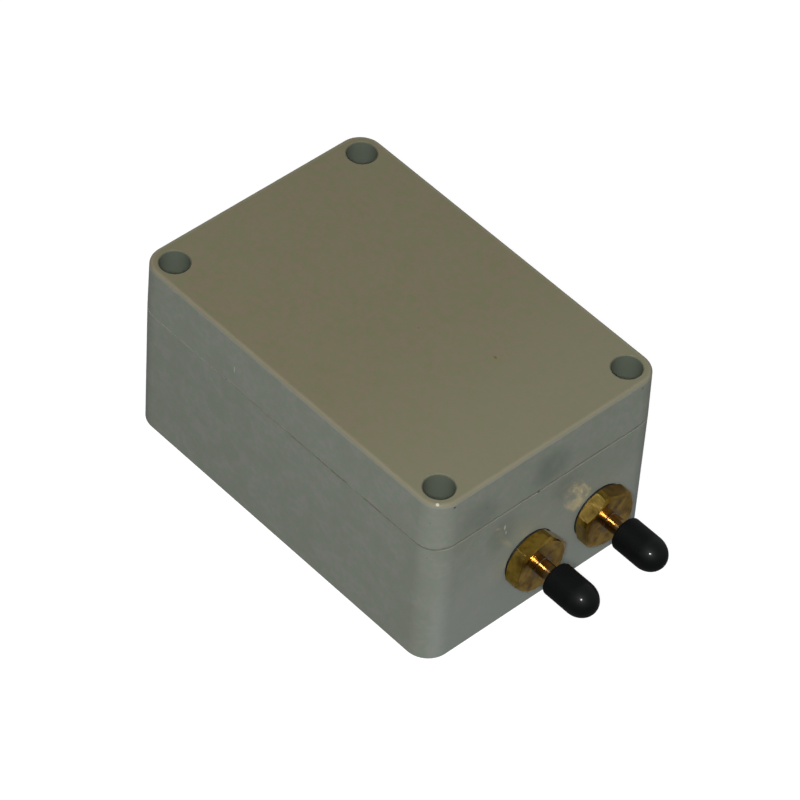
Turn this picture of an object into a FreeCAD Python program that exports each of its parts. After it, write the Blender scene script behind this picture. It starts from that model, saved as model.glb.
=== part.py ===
import FreeCAD, Part
import os
import re

import Sketcher

V = FreeCAD.Vector

# Driving dimensions, in millimetres and degrees
DIMENSIONS = {
    # Case: a lid on a base, split at the parting line
    "case_length": 120.0,
    "case_width": 81.4,
    "case_height": 60.0,
    "lid_height": 16.8,
    "lid_draft": 1.0,
    "corner_radius": 7.2,
    "edge_radius": 1.0,
    "wall": 3.5,
    "floor_thickness": 3.0,
    "end_radius": 0.8,
    "side_radius": 2.0,
    "block_radius": 3.4,
    "shadow_gap": 0.45,
    "shadow_depth": 0.8,
    # Corner blocks, outside the seal: lid screw and wall fixing side by side
    "screw_inset_x": 7.3,
    "screw_inset_y": 7.0,
    "bore_diameter": 8.7,
    "seat_thickness": 3.0,
    "block_length": 24.7,
    "block_width": 13.4,
    "fixing_inset_x": 17.0,
    "fixing_inset_y": 6.1,
    "fixing_hole": 4.5,
    "fixing_bore": 7.6,
    "fixing_floor": 4.0,
    # Seal
    "gasket_width": 1.9,
    "gasket_depth": 1.5,
    "gasket_inset": 0.8,
    "rib_width": 1.0,
    "rib_height": 0.6,
    # Lid screws
    "screw_diameter": 4.0,
    "screw_head": 7.6,
    "screw_head_height": 3.2,
    "screw_reach": 10.0,
    "insert_diameter": 5.8,
    "insert_length": 9.5,
    "insert_sink": 0.3,
    "retainer_thickness": 0.8,
    "retainer_diameter": 7.0,
    # Hose nipples in the end wall
    "nipple_inset": 20.3,
    "nipple_pitch": 25.4,
    "nipple_height": 19.3,
    "hexagon": 17.0,
    "hexagon_thickness": 4.7,
    "hexagon_face": 16.4,
    "left_turn": 12.0,
    "right_turn": 38.5,
    "seal_thickness": 0.5,
    "seal_diameter": 17.4,
    "spigot_diameter": 5.0,
    "spigot_tip": 22.4,
    "nipple_bore": 3.2,
    "shank_diameter": 8.0,
    "shank_reach": 13.0,
    "barb_diameter": 5.0,
    "barb_reach": 23.0,
    "washer_diameter": 12.0,
    "washer_thickness": 1.0,
    "nut_hexagon": 13.0,
    "nut_thickness": 4.0,
    # Dust caps
    "cap_diameter": 10.1,
    "cap_bore": 5.06,
    "cap_mouth": 10.4,
    "cap_end": 25.6,
    "cap_crown": 1.8,
    # Hoses and air switches
    "hose_bore": 5.8,
    "hose_diameter": 8.8,
    "hose_start": 14.0,
    "hose_end": 33.0,
    "switch_front": 36.0,
    "switch_diameter": 17.2,
    "switch_depth": 12.0,
    "port_length": 9.0,
    # Circuit board
    "board_length": 78.0,
    "board_margin": 14.2,
    "board_thickness": 1.6,
    "board_inset": 65.0,
    "standoff_height": 6.0,
    "standoff_diameter": 7.0,
    "board_hole_x": 35.0,
    "board_hole_inset": 4.0,
    "board_screw": 3.0,
    "board_screw_head": 5.6,
    "board_screw_height": 2.2,
    # Cable entry in the base face
    "grommet_inset": 10.2,
    "grommet_hole": 9.0,
    "grommet_flange": 12.0,
    "grommet_recess": 1.2,
    # Parts on the board
    "terminal_pitch": 5.08,
    "terminal_depth": 10.0,
    "terminal_height": 14.0,
    "trimmer_size": 8.0,
    "trimmer_height": 4.8,
    "rotor_diameter": 6.0,
    "rotor_height": 2.0,
    "button_size": 8.0,
    "button_height": 6.0,
    "plunger_diameter": 4.0,
    "plunger_travel": 1.5,
}

doc = FreeCAD.newDocument("garage_door_timer")
sizes = doc.addObject("Spreadsheet::Sheet", "Sizes")
for row, (alias, number) in enumerate(DIMENSIONS.items(), start=1):
    sizes.set(f"A{row}", alias)
    sizes.set(f"B{row}", str(number))
    sizes.setAlias(f"B{row}", alias)
doc.recompute()

# Heights and places that follow from the driving dimensions
BASE_HEIGHT = "(case_height - lid_height)"
BOARD_TOP = "(floor_thickness + standoff_height + board_thickness)"
HALF_CAVITY_X = "case_length / 2 - wall"
HALF_CAVITY_Y = "case_width / 2 - wall"
SCREW_X = "(case_length / 2 - screw_inset_x)"
SCREW_Y = "(case_width / 2 - screw_inset_y)"
FIXING_X = "(case_length / 2 - fixing_inset_x)"
FIXING_Y = "(case_width / 2 - fixing_inset_y)"
BOARD_MIDDLE = "(case_length / 2 - board_inset)"
BOARD_WIDTH = "(case_width - 2 * board_margin)"
BOARD_HOLE_Y = "(case_width / 2 - board_margin - board_hole_inset)"
GROMMET_X = "(grommet_inset - case_length / 2)"
NIPPLES = (
    "(case_width / 2 - nipple_inset - nipple_pitch)",
    "(case_width / 2 - nipple_inset)",
)
SEAL_SPAN = "(seal_thickness + hexagon_thickness)"
FOUR_CORNERS = ((1, 1), (-1, 1), (-1, -1), (1, -1))

exported = []


# Expressions and sketches


def formula(text):
    """Rewrite the names of driving dimensions in text as cells of the sheet."""
    return re.sub(r"[a-z]\w*", lambda m: "Sizes." + m[0] if m[0] in DIMENSIONS else m[0], str(text))


def value(text):
    """The present value of an expression."""
    return float(sizes.evalExpression(formula(text)))


def bind(item, **expressions):
    """Bind properties of item to expressions of the driving dimensions."""
    for name, text in expressions.items():
        item.setExpression(name.replace("__", "."), formula(text))


def place(item, x="0", y="0", z="0"):
    """Bind the item's position."""
    bind(item, Placement__Base__x=x, Placement__Base__y=y, Placement__Base__z=z)


def new_body(label, x="0", y="0", z="0"):
    """An empty body that is written out under its label."""
    body = doc.addObject("PartDesign::Body", label)
    body.Label = label
    place(body, x, y, z)
    exported.append(body)
    return body


def sketch_on(body, role, offset="0"):
    """A sketch on one of the body's origin planes, moved along the plane's normal by offset."""
    sketch = body.newObject("Sketcher::SketchObject", "Sketch")
    plane = next(item for item in body.Origin.OriginFeatures if item.Role == role)
    sketch.AttachmentSupport = [(plane, "")]
    sketch.MapMode = "FlatFace"
    bind(sketch, AttachmentOffset__Base__z=offset)
    return sketch


def dimension(kind, *where, text):
    """A dimension with the expression that it follows."""
    return Sketcher.Constraint(kind, *where, value(text)), text


def pin(geometry, point, x, y):
    """The rules that hold one point of a sketch at x, y."""
    rules = []
    for kind, axis, text in (("DistanceX", -2, x), ("DistanceY", -1, y)):
        if abs(value(text)) < 1e-9:
            rules.append((Sketcher.Constraint("PointOnObject", geometry, point, axis), None))
        else:
            rules.append(dimension(kind, -1, 1, geometry, point, text=text))
    return rules


def apply_rules(sketch, rules):
    """Add constraints to the sketch in one go, then bind those that follow an expression."""
    first = sketch.ConstraintCount
    sketch.addConstraint([rule for rule, text in rules])
    for index, (rule, text) in enumerate(rules, start=first):
        if text is not None:
            sketch.setExpression(f"Constraints[{index}]", formula(text))


def polygon(sketch, corners):
    """A closed outline of straight lines through the corners."""
    points = [V(value(x), value(y), 0) for x, y in corners]
    following = points[1:] + points[:1]
    lines = sketch.addGeometry([Part.LineSegment(a, b) for a, b in zip(points, following)])
    rules = []
    for line, after, (x, y) in zip(lines, lines[1:] + lines[:1], corners):
        rules.append((Sketcher.Constraint("Coincident", line, 2, after, 1), None))
        rules += pin(line, 1, x, y)
    apply_rules(sketch, rules)


def rounded(sketch, corners, radii):
    """A closed outline of level and upright lines, whose corners are arcs of the given radii."""
    points = [V(value(x), value(y), 0) for x, y in corners]
    count = len(points)
    ways = [(points[(i + 1) % count] - points[i]).normalize() for i in range(count)]
    sweeps = [value(radius) for radius in radii]
    sides = []
    arcs = []
    for i, radius in enumerate(sweeps):
        before = ways[i - 1]
        after = ways[i]
        start = points[i] - before * radius
        end = points[i] + after * radius
        middle = start + after * radius + (before - after).normalize() * radius
        arcs.append(Part.Arc(start, middle, end))
        sides.append(Part.LineSegment(end, points[(i + 1) % count] - after * sweeps[(i + 1) % count]))
    lines = sketch.addGeometry(sides)
    bends = sketch.addGeometry(arcs)
    rules = []
    for i, bend in enumerate(bends):
        first, last = (1, 2) if ways[i - 1].cross(ways[i]).z > 0 else (2, 1)
        rules.append((Sketcher.Constraint("Tangent", lines[i - 1], 2, bend, first), None))
        rules.append((Sketcher.Constraint("Tangent", bend, last, lines[i], 1), None))
        rules.append(dimension("Radius", bend, text=radii[i]))
        level = abs(ways[i].y) < 1e-9
        rules.append((Sketcher.Constraint("Horizontal" if level else "Vertical", lines[i]), None))
        kind = "DistanceY" if level else "DistanceX"
        text = corners[i][1] if level else corners[i][0]
        rules.append(dimension(kind, -1, 1, lines[i], 1, text=text))
    apply_rules(sketch, rules)


def rectangle(sketch, x0, x1, y0, y1):
    """A sharp-cornered rectangle between two pairs of coordinates."""
    polygon(sketch, ((x0, y0), (x1, y0), (x1, y1), (x0, y1)))


def case_outline(sketch, inset="0"):
    """The case's rounded rectangle, moved inwards by inset."""
    x = f"case_length / 2 - ({inset})"
    y = f"case_width / 2 - ({inset})"
    corners = [(f"{sx} * ({x})", f"{sy} * ({y})") for sx, sy in FOUR_CORNERS]
    rounded(sketch, corners, [f"corner_radius - ({inset})"] * 4)


def seal_outline(sketch, outset="0"):
    """The cavity's outline with a notch round each corner block, moved outwards by outset."""
    far_x = f"({HALF_CAVITY_X} + {outset})"
    far_y = f"({HALF_CAVITY_Y} + {outset})"
    near_x = f"(case_length / 2 - block_length + {outset})"
    near_y = f"(case_width / 2 - block_width + {outset})"
    corners = []
    radii = []
    for sx, sy in FOUR_CORNERS:
        quarter = [
            (far_x, near_y, f"end_radius + {outset}"),
            (near_x, near_y, f"block_radius - ({outset})"),
            (near_x, far_y, f"side_radius + {outset}"),
        ]
        if sx * sy < 0:
            quarter.reverse()
        corners += [(f"{sx} * {x}", f"{sy} * {y}") for x, y, radius in quarter]
        radii += [radius for x, y, radius in quarter]
    rounded(sketch, corners, radii)


def circle(sketch, x, y, diameter):
    """A circle by centre and diameter."""
    index = sketch.addGeometry(Part.Circle(V(value(x), value(y), 0), V(0, 0, 1), value(diameter) / 2))
    apply_rules(sketch, pin(index, 3, x, y) + [dimension("Diameter", index, text=diameter)])


def four_circles(sketch, x, y, diameter):
    """The same circle in all four corners."""
    for sx, sy in FOUR_CORNERS:
        circle(sketch, f"{sx} * ({x})", f"{sy} * ({y})", diameter)


def hexagon(sketch, x, y, across_flats, turn):
    """A hexagon with one corner at the angle turn."""
    reach = f"{across_flats} / 2 / cos(30)"
    steps = range(0, 360, 60)
    polygon(
        sketch,
        [
            (f"{x} + {reach} * cos({turn} + {step})", f"{y} + {reach} * sin({turn} + {step})")
            for step in steps
        ],
    )


# Features


def settle(body, feature, grows=None):
    """Recompute, and make sure that the feature did change the solid the right way."""
    base = feature.BaseFeature.Shape.Volume if feature.BaseFeature else 0.0
    doc.recompute()
    change = feature.Shape.Volume - base
    if abs(change) < 1e-6 or (grows is not None and (change > 0) != grows):
        raise RuntimeError(f"{body.Label}: {feature.Name} changes the volume by {change:.4f}")
    return feature


def pad(body, sketch, length, down=False, taper=None):
    """Raise the sketch into a solid."""
    feature = body.newObject("PartDesign::Pad", "Pad")
    feature.Profile = sketch
    feature.Reversed = down
    bind(feature, Length=length)
    if taper is not None:
        bind(feature, TaperAngle=taper)
    return settle(body, feature, True)


def pocket(body, sketch, length, up=False):
    """Cut the sketch into the solid, against the sketch's normal unless up."""
    feature = body.newObject("PartDesign::Pocket", "Pocket")
    feature.Profile = sketch
    feature.Reversed = up
    bind(feature, Length=length)
    return settle(body, feature, False)


def revolve(body, sketch, axis="H_Axis"):
    """Turn the sketch once round its own axis."""
    feature = body.newObject("PartDesign::Revolution", "Revolution")
    feature.Profile = sketch
    feature.ReferenceAxis = (sketch, [axis])
    feature.Angle = 360
    return settle(body, feature, True)


def groove(body, sketch, axis="H_Axis"):
    """Cut the sketch's ring out of the solid."""
    feature = body.newObject("PartDesign::Groove", "Groove")
    feature.Profile = sketch
    feature.ReferenceAxis = (sketch, [axis])
    feature.Angle = 360
    return settle(body, feature, False)


def fillet(body, radius, chosen):
    """Round the edges of the body's tip for which chosen(edge) is true."""
    tip = body.Tip
    names = [f"Edge{i}" for i, edge in enumerate(tip.Shape.Edges, start=1) if chosen(edge)]
    if not names:
        raise RuntimeError(f"{body.Label}: no edge to round")
    feature = body.newObject("PartDesign::Fillet", "Fillet")
    feature.Base = (tip, names)
    bind(feature, Radius=radius)
    return settle(body, feature)


def chamfer(body, size, chosen):
    """Bevel the edges of the body's tip for which chosen(edge) is true."""
    tip = body.Tip
    names = [f"Edge{i}" for i, edge in enumerate(tip.Shape.Edges, start=1) if chosen(edge)]
    feature = body.newObject("PartDesign::Chamfer", "Chamfer")
    feature.Base = (tip, names)
    bind(feature, Size=size)
    return settle(body, feature)


def at_level(edge, axis, level):
    """Whether the whole edge lies at one level along an axis (0, 1 or 2)."""
    box = edge.BoundBox
    low = (box.XMin, box.YMin, box.ZMin)[axis]
    high = (box.XMax, box.YMax, box.ZMax)[axis]
    return abs(low - level) < 1e-3 and abs(high - level) < 1e-3


def upright(edge):
    """Whether the edge runs along Z."""
    return edge.BoundBox.XLength < 1e-3 and edge.BoundBox.YLength < 1e-3


def circle_edge(edge, radius):
    """Whether the edge is part of a circle of this radius."""
    return hasattr(edge.Curve, "Radius") and abs(edge.Curve.Radius - radius) < 1e-3


def block(label, x, y, z, length, width, height, rounding="0.4"):
    """A moulded rectangular body centred on x, y that stands on z."""
    body = new_body(label, x, y, z)
    sketch = sketch_on(body, "XY_Plane")
    rectangle(sketch, f"-({length}) / 2", f"({length}) / 2", f"-({width}) / 2", f"({width}) / 2")
    pad(body, sketch, height)
    fillet(body, rounding, upright)
    return body


def drum(label, x, y, z, diameter, height, bevel):
    """An upright round body that stands on z, with a bevelled top edge."""
    body = new_body(label, x, y, z)
    sketch = sketch_on(body, "XY_Plane")
    circle(sketch, "0", "0", diameter)
    pad(body, sketch, height)
    chamfer(body, bevel, lambda edge: at_level(edge, 2, value(height)))
    return body


# Base housing


def base_housing():
    """Open-topped box with four corner blocks, seal groove, standoffs, nipple and cable holes."""
    body = new_body("base_housing")
    sketch = sketch_on(body, "XY_Plane")
    case_outline(sketch)
    pad(body, sketch, BASE_HEIGHT)

    sketch = sketch_on(body, "XY_Plane", BASE_HEIGHT)
    seal_outline(sketch)
    pocket(body, sketch, f"{BASE_HEIGHT} - floor_thickness")

    sketch = sketch_on(body, "XY_Plane", BASE_HEIGHT)
    seal_outline(sketch, "gasket_inset + gasket_width")
    seal_outline(sketch, "gasket_inset")
    pocket(body, sketch, "gasket_depth")

    sketch = sketch_on(body, "XY_Plane", BASE_HEIGHT)
    four_circles(sketch, SCREW_X, SCREW_Y, "insert_diameter + 0.04")
    pocket(body, sketch, "insert_length + insert_sink + 1")
    sketch = sketch_on(body, "XY_Plane", BASE_HEIGHT)
    four_circles(sketch, FIXING_X, FIXING_Y, "fixing_bore")
    pocket(body, sketch, f"{BASE_HEIGHT} - fixing_floor")
    sketch = sketch_on(body, "XY_Plane", "fixing_floor")
    four_circles(sketch, FIXING_X, FIXING_Y, "fixing_hole")
    pocket(body, sketch, "fixing_floor")

    sketch = sketch_on(body, "YZ_Plane", "case_length / 2")
    for y in NIPPLES:
        circle(sketch, y, "nipple_height", "shank_diameter + 0.4")
    pocket(body, sketch, "wall")

    sketch = sketch_on(body, "XY_Plane", "floor_thickness - 0.01")
    for sx, sy in FOUR_CORNERS:
        circle(sketch, f"{BOARD_MIDDLE} + {sx} * board_hole_x", f"{sy} * {BOARD_HOLE_Y}", "standoff_diameter")
    pad(body, sketch, "standoff_height + 0.01")
    sketch = sketch_on(body, "XY_Plane", "floor_thickness + standoff_height")
    for sx, sy in FOUR_CORNERS:
        circle(sketch, f"{BOARD_MIDDLE} + {sx} * board_hole_x", f"{sy} * {BOARD_HOLE_Y}", "board_screw + 0.04")
    pocket(body, sketch, "standoff_height")

    sketch = sketch_on(body, "XY_Plane", "floor_thickness")
    circle(sketch, GROMMET_X, "0", "grommet_hole")
    pocket(body, sketch, "floor_thickness")
    sketch = sketch_on(body, "XY_Plane")
    circle(sketch, GROMMET_X, "0", "grommet_flange + 0.6")
    pocket(body, sketch, "grommet_recess", up=True)


# Lid and what belongs to it


def lid():
    """Cover with a draft, rounded top edge, four deep screw bores, seal rib and shadow gap."""
    body = new_body("lid", z=BASE_HEIGHT)
    sketch = sketch_on(body, "XY_Plane")
    case_outline(sketch)
    pad(body, sketch, "lid_height", taper="-lid_draft")
    fillet(body, "edge_radius", lambda edge: at_level(edge, 2, value("lid_height")))

    sketch = sketch_on(body, "XY_Plane")
    seal_outline(sketch)
    pocket(body, sketch, "lid_height - floor_thickness", up=True)

    sketch = sketch_on(body, "XY_Plane")
    case_outline(sketch, "-1")
    case_outline(sketch, "shadow_depth")
    pocket(body, sketch, "shadow_gap", up=True)

    sketch = sketch_on(body, "XY_Plane", "0.01")
    seal_outline(sketch, "gasket_inset + (gasket_width + rib_width) / 2")
    seal_outline(sketch, "gasket_inset + (gasket_width - rib_width) / 2")
    pad(body, sketch, "rib_height + 0.01", down=True)

    sketch = sketch_on(body, "XY_Plane", "lid_height")
    four_circles(sketch, SCREW_X, SCREW_Y, "bore_diameter")
    pocket(body, sketch, "lid_height - seat_thickness")
    sketch = sketch_on(body, "XY_Plane", "seat_thickness")
    four_circles(sketch, SCREW_X, SCREW_Y, "screw_diameter + 0.6")
    pocket(body, sketch, "seat_thickness")
    sketch = sketch_on(body, "XY_Plane")
    four_circles(sketch, SCREW_X, SCREW_Y, "retainer_diameter + 0.2")
    pocket(body, sketch, "retainer_thickness", up=True)
    sketch = sketch_on(body, "XY_Plane")
    four_circles(sketch, FIXING_X, FIXING_Y, "fixing_bore")
    pocket(body, sketch, "lid_height - floor_thickness - 2", up=True)

    top = value("lid_height")
    bore = value("bore_diameter") / 2
    chamfer(body, "0.3", lambda edge: at_level(edge, 2, top) and circle_edge(edge, bore))


def lid_gasket():
    """Seal cord at the bottom of the groove in the base's rim, under the lid's rib."""
    body = new_body("lid_gasket", z=f"{BASE_HEIGHT} - gasket_depth")
    sketch = sketch_on(body, "XY_Plane")
    seal_outline(sketch, "gasket_inset + gasket_width - 0.05")
    seal_outline(sketch, "gasket_inset + 0.05")
    pad(body, sketch, "gasket_depth - rib_height")


def lid_screws():
    """Four captive screws: slotted cheese heads on the seats, shanks down into the inserts."""
    body = new_body("lid_screws", z=f"{BASE_HEIGHT} + seat_thickness")
    sketch = sketch_on(body, "XY_Plane")
    four_circles(sketch, SCREW_X, SCREW_Y, "screw_head")
    pad(body, sketch, "screw_head_height")
    sketch = sketch_on(body, "XY_Plane")
    four_circles(sketch, SCREW_X, SCREW_Y, "screw_diameter")
    pad(body, sketch, "seat_thickness + screw_reach", down=True)
    sketch = sketch_on(body, "XY_Plane", "screw_head_height")
    for sx, sy in FOUR_CORNERS:
        x = f"{sx} * {SCREW_X}"
        y = f"{sy} * {SCREW_Y}"
        rectangle(sketch, f"{x} - 4", f"{x} + 4", f"{y} - 0.6", f"{y} + 0.6")
    pocket(body, sketch, "1.4")


def screw_retainers():
    """Four rings in the lid's underside that keep the screws with the lid."""
    body = new_body("screw_retainers", z=BASE_HEIGHT)
    sketch = sketch_on(body, "XY_Plane")
    four_circles(sketch, SCREW_X, SCREW_Y, "retainer_diameter")
    four_circles(sketch, SCREW_X, SCREW_Y, "screw_diameter + 0.06")
    pad(body, sketch, "retainer_thickness")


def threaded_inserts():
    """Four brass inserts pressed into the corner blocks."""
    body = new_body("threaded_inserts", z=f"{BASE_HEIGHT} - insert_sink - insert_length")
    sketch = sketch_on(body, "XY_Plane")
    four_circles(sketch, SCREW_X, SCREW_Y, "insert_diameter")
    four_circles(sketch, SCREW_X, SCREW_Y, "screw_diameter + 0.2")
    pad(body, sketch, "insert_length")


# Hose nipples


def nipple(label, y, turn):
    """Turned brass bulkhead nipple: spigot, chamfered hexagon, threaded shank, inner barb."""
    body = new_body(label, "case_length / 2", y, "nipple_height")
    sketch = sketch_on(body, "YZ_Plane", "seal_thickness")
    hexagon(sketch, "0", "0", "hexagon", turn)
    pad(body, sketch, "hexagon_thickness")
    sketch = sketch_on(body, "XZ_Plane")
    rim = "hexagon_face / 2"
    outer = f"({rim} + 3)"
    polygon(sketch, ((SEAL_SPAN, rim), (f"{SEAL_SPAN} - 3 * tan(30)", outer), (SEAL_SPAN, outer)))
    groove(body, sketch)

    bore = "nipple_bore / 2"
    spigot = "spigot_diameter / 2"
    shank = "shank_diameter / 2"
    barb = "barb_diameter / 2"
    sketch = sketch_on(body, "XZ_Plane")
    polygon(
        sketch,
        (
            ("spigot_tip", bore),
            ("spigot_tip", f"{spigot} - 0.5"),
            ("spigot_tip - 1", spigot),
            (f"{SEAL_SPAN} - 1", spigot),
            (f"{SEAL_SPAN} - 1", shank),
            ("-shank_reach", shank),
            ("-shank_reach", barb),
            ("-barb_reach + 3", barb),
            ("-barb_reach + 3", f"{barb} + 0.3"),
            ("-barb_reach", f"{barb} - 0.4"),
            ("-barb_reach", bore),
        ),
    )
    revolve(body, sketch)
    sketch = sketch_on(body, "YZ_Plane", "spigot_tip")
    circle(sketch, "0", "0", "nipple_bore")
    pocket(body, sketch, "spigot_tip + barb_reach")


def rings(label, start, thickness, outer, inner):
    """One ring on each nipple, from start outwards along the nipple's axis."""
    body = new_body(label, "case_length / 2", "0", "nipple_height")
    sketch = sketch_on(body, "YZ_Plane", start)
    for y in NIPPLES:
        circle(sketch, y, "0", outer)
        circle(sketch, y, "0", inner)
    pad(body, sketch, thickness)


def lock_nuts():
    """Hexagonal nuts that clamp the nipples from the inside."""
    body = new_body("nipple_lock_nuts", "case_length / 2", "0", "nipple_height")
    sketch = sketch_on(body, "YZ_Plane", "-wall - washer_thickness - nut_thickness")
    for y in NIPPLES:
        hexagon(sketch, y, "0", "nut_hexagon", "90")
        circle(sketch, y, "0", "shank_diameter + 0.1")
    pad(body, sketch, "nut_thickness")


def dust_cap(label, y):
    """Push-on cap: a thin sleeve with a closed, hemispherical end."""
    body = new_body(label, "case_length / 2", y, "nipple_height")
    outer = "cap_diameter / 2"
    bore = "cap_bore / 2"
    shoulder = f"cap_end - {outer}"
    inside = "cap_end - cap_crown"
    corners = [("cap_end", "0"), (inside, "0"), (inside, bore), ("cap_mouth", bore), ("cap_mouth", outer)]
    corners.append((shoulder, outer))
    points = [V(value(x), value(radius), 0) for x, radius in corners]
    bend = V(value(shoulder), 0, 0) + V(1, 1, 0).normalize() * value(outer)
    sketch = sketch_on(body, "XZ_Plane")
    lines = sketch.addGeometry([Part.LineSegment(a, b) for a, b in zip(points, points[1:])])
    dome = sketch.addGeometry(Part.Arc(points[-1], bend, points[0]))
    rules = [(Sketcher.Constraint("Coincident", a, 2, b, 1), None) for a, b in zip(lines, lines[1:])]
    rules.append((Sketcher.Constraint("Coincident", dome, 1, lines[0], 1), None))
    rules.append((Sketcher.Constraint("Tangent", lines[-1], 2, dome, 2), None))
    for line, (x, radius) in zip(lines, corners):
        rules += pin(line, 1, x, radius)
    rules += pin(dome, 3, shoulder, "0")
    apply_rules(sketch, rules)
    revolve(body, sketch)
    rim = value(outer)
    mouth = value("cap_mouth")
    chamfer(body, "0.4", lambda edge: at_level(edge, 0, mouth) and circle_edge(edge, rim))


# Air switches


def air_switch(label, y):
    """Diaphragm housing of two crimped halves, with a hose port and a foot on the board."""
    body = new_body(label, "case_length / 2 - switch_front - switch_depth", y, "nipple_height")
    rim = "switch_diameter / 2"
    port = "barb_diameter / 2"
    front = "switch_depth"
    sketch = sketch_on(body, "XZ_Plane")
    polygon(
        sketch,
        (
            ("0", "0"),
            ("0", f"{rim} - 1"),
            ("4", f"{rim} - 1"),
            ("4", rim),
            ("7", rim),
            (front, f"{port} + 1.5"),
            (front, port),
            (f"{front} + port_length", port),
            (f"{front} + port_length", "0"),
        ),
    )
    revolve(body, sketch)
    sketch = sketch_on(body, "YZ_Plane", f"{front} + port_length")
    circle(sketch, "0", "0", "2.4")
    pocket(body, sketch, "port_length + 4")
    sketch = sketch_on(body, "XY_Plane", f"{BOARD_TOP} - nipple_height")
    rectangle(sketch, "1", "9", "-5", "5")
    pad(body, sketch, "6")


def microswitch(label, y):
    """Snap switch behind the diaphragm, with its three tags down to the board."""
    body = new_body(label, "case_length / 2 - switch_front - switch_depth - 4", y, BOARD_TOP)
    sketch = sketch_on(body, "XY_Plane", "2")
    rectangle(sketch, "-3.2", "3.2", "-6.4", "6.4")
    pad(body, sketch, "12")
    fillet(body, "0.5", upright)
    sketch = sketch_on(body, "XY_Plane")
    for y_tag in ("-5", "0", "5"):
        rectangle(sketch, "-1.4", "1.4", f"{y_tag} - 0.3", f"{y_tag} + 0.3")
    pad(body, sketch, "2.5")
    sketch = sketch_on(body, "YZ_Plane", "3")
    circle(sketch, "0", "nipple_height - " + BOARD_TOP, "2.4")
    pad(body, sketch, "0.9")


# Circuit board and its parts


def circuit_board():
    """Board on its standoffs, with four screw holes."""
    body = new_body("circuit_board", BOARD_MIDDLE, "0", "floor_thickness + standoff_height")
    sketch = sketch_on(body, "XY_Plane")
    corners = [(f"{sx} * board_length / 2", f"{sy} * {BOARD_WIDTH} / 2") for sx, sy in FOUR_CORNERS]
    rounded(sketch, corners, ["1.5"] * 4)
    four_circles(sketch, "board_hole_x", BOARD_HOLE_Y, "board_screw + 0.3")
    pad(body, sketch, "board_thickness")


def board_screws():
    """Four slotted screws that hold the board."""
    body = new_body("board_screws", BOARD_MIDDLE, "0", BOARD_TOP)
    sketch = sketch_on(body, "XY_Plane")
    four_circles(sketch, "board_hole_x", BOARD_HOLE_Y, "board_screw_head")
    pad(body, sketch, "board_screw_height")
    sketch = sketch_on(body, "XY_Plane")
    four_circles(sketch, "board_hole_x", BOARD_HOLE_Y, "board_screw")
    pad(body, sketch, "board_thickness + 5", down=True)
    sketch = sketch_on(body, "XY_Plane", "board_screw_height")
    for sx, sy in FOUR_CORNERS:
        x = f"{sx} * board_hole_x"
        y = f"{sy} * {BOARD_HOLE_Y}"
        rectangle(sketch, f"{x} - 3", f"{x} + 3", f"{y} - 0.4", f"{y} + 0.4")
    pocket(body, sketch, "1")


TERMINALS = range(-2, 3)
TERMINAL_X = f"{BOARD_MIDDLE} - 33"
WELL_DEPTH = "5"


def terminal_block():
    """Five-way clamp block: sloping front, square wire entries, screw wells in the top."""
    body = new_body("terminal_block", TERMINAL_X, "0", BOARD_TOP)
    half = "terminal_depth / 2"
    span = "5 * terminal_pitch"
    sketch = sketch_on(body, "XZ_Plane", f"-({span}) / 2")
    polygon(
        sketch,
        (
            (f"-{half}", "0"),
            (half, "0"),
            (half, "terminal_height"),
            (f"-{half} + 3", "terminal_height"),
            (f"-{half}", "terminal_height - 4"),
        ),
    )
    pad(body, sketch, span)
    sketch = sketch_on(body, "YZ_Plane", f"-{half}")
    for i in TERMINALS:
        rectangle(sketch, f"{i} * terminal_pitch - 1.6", f"{i} * terminal_pitch + 1.6", "2", "5.4")
    pocket(body, sketch, "7", up=True)
    sketch = sketch_on(body, "XY_Plane", "terminal_height")
    for i in TERMINALS:
        circle(sketch, "1", f"{i} * terminal_pitch", "4.0")
    pocket(body, sketch, WELL_DEPTH)


def terminal_screws():
    """Slotted clamp screws at the bottom of the wells."""
    body = new_body("terminal_screws", f"{TERMINAL_X} + 1", "0", f"{BOARD_TOP} + terminal_height - {WELL_DEPTH}")
    sketch = sketch_on(body, "XY_Plane")
    for i in TERMINALS:
        circle(sketch, "0", f"{i} * terminal_pitch", "3.8")
    pad(body, sketch, "2.4")
    sketch = sketch_on(body, "XY_Plane", "2.4")
    for i in TERMINALS:
        middle = f"{i} * terminal_pitch"
        rectangle(sketch, "-2.2", "2.2", f"{middle} - 0.35", f"{middle} + 0.35")
    pocket(body, sketch, "1")


def chip_and_socket():
    """Timer chip with fourteen legs, standing in its socket."""
    x = f"{BOARD_MIDDLE} - 3"
    y = "3"
    socket = new_body("chip_socket", x, y, BOARD_TOP)
    sketch = sketch_on(socket, "XY_Plane")
    rectangle(sketch, "-9.8", "9.8", "-5", "5")
    rectangle(sketch, "-7.5", "7.5", "-2", "2")
    pad(socket, sketch, "4.2")

    chip = new_body("timer_chip", x, y, f"{BOARD_TOP} + 4.2")
    sketch = sketch_on(chip, "XY_Plane", "0.6")
    rectangle(sketch, "-9.6", "9.6", "-3.2", "3.2")
    pad(chip, sketch, "3.3")
    sketch = sketch_on(chip, "XY_Plane")
    for i in range(-3, 4):
        for side in (-1, 1):
            x_leg = f"{i} * terminal_pitch / 2"
            y_near, y_far = sorted((side * 3.1, side * 3.9))
            rectangle(sketch, f"{x_leg} - 0.3", f"{x_leg} + 0.3", f"{y_near}", f"{y_far}")
    pad(chip, sketch, "2.4")
    sketch = sketch_on(chip, "XY_Plane", "3.9")
    circle(sketch, "-9.6", "0", "2")
    pocket(chip, sketch, "0.6")


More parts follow.
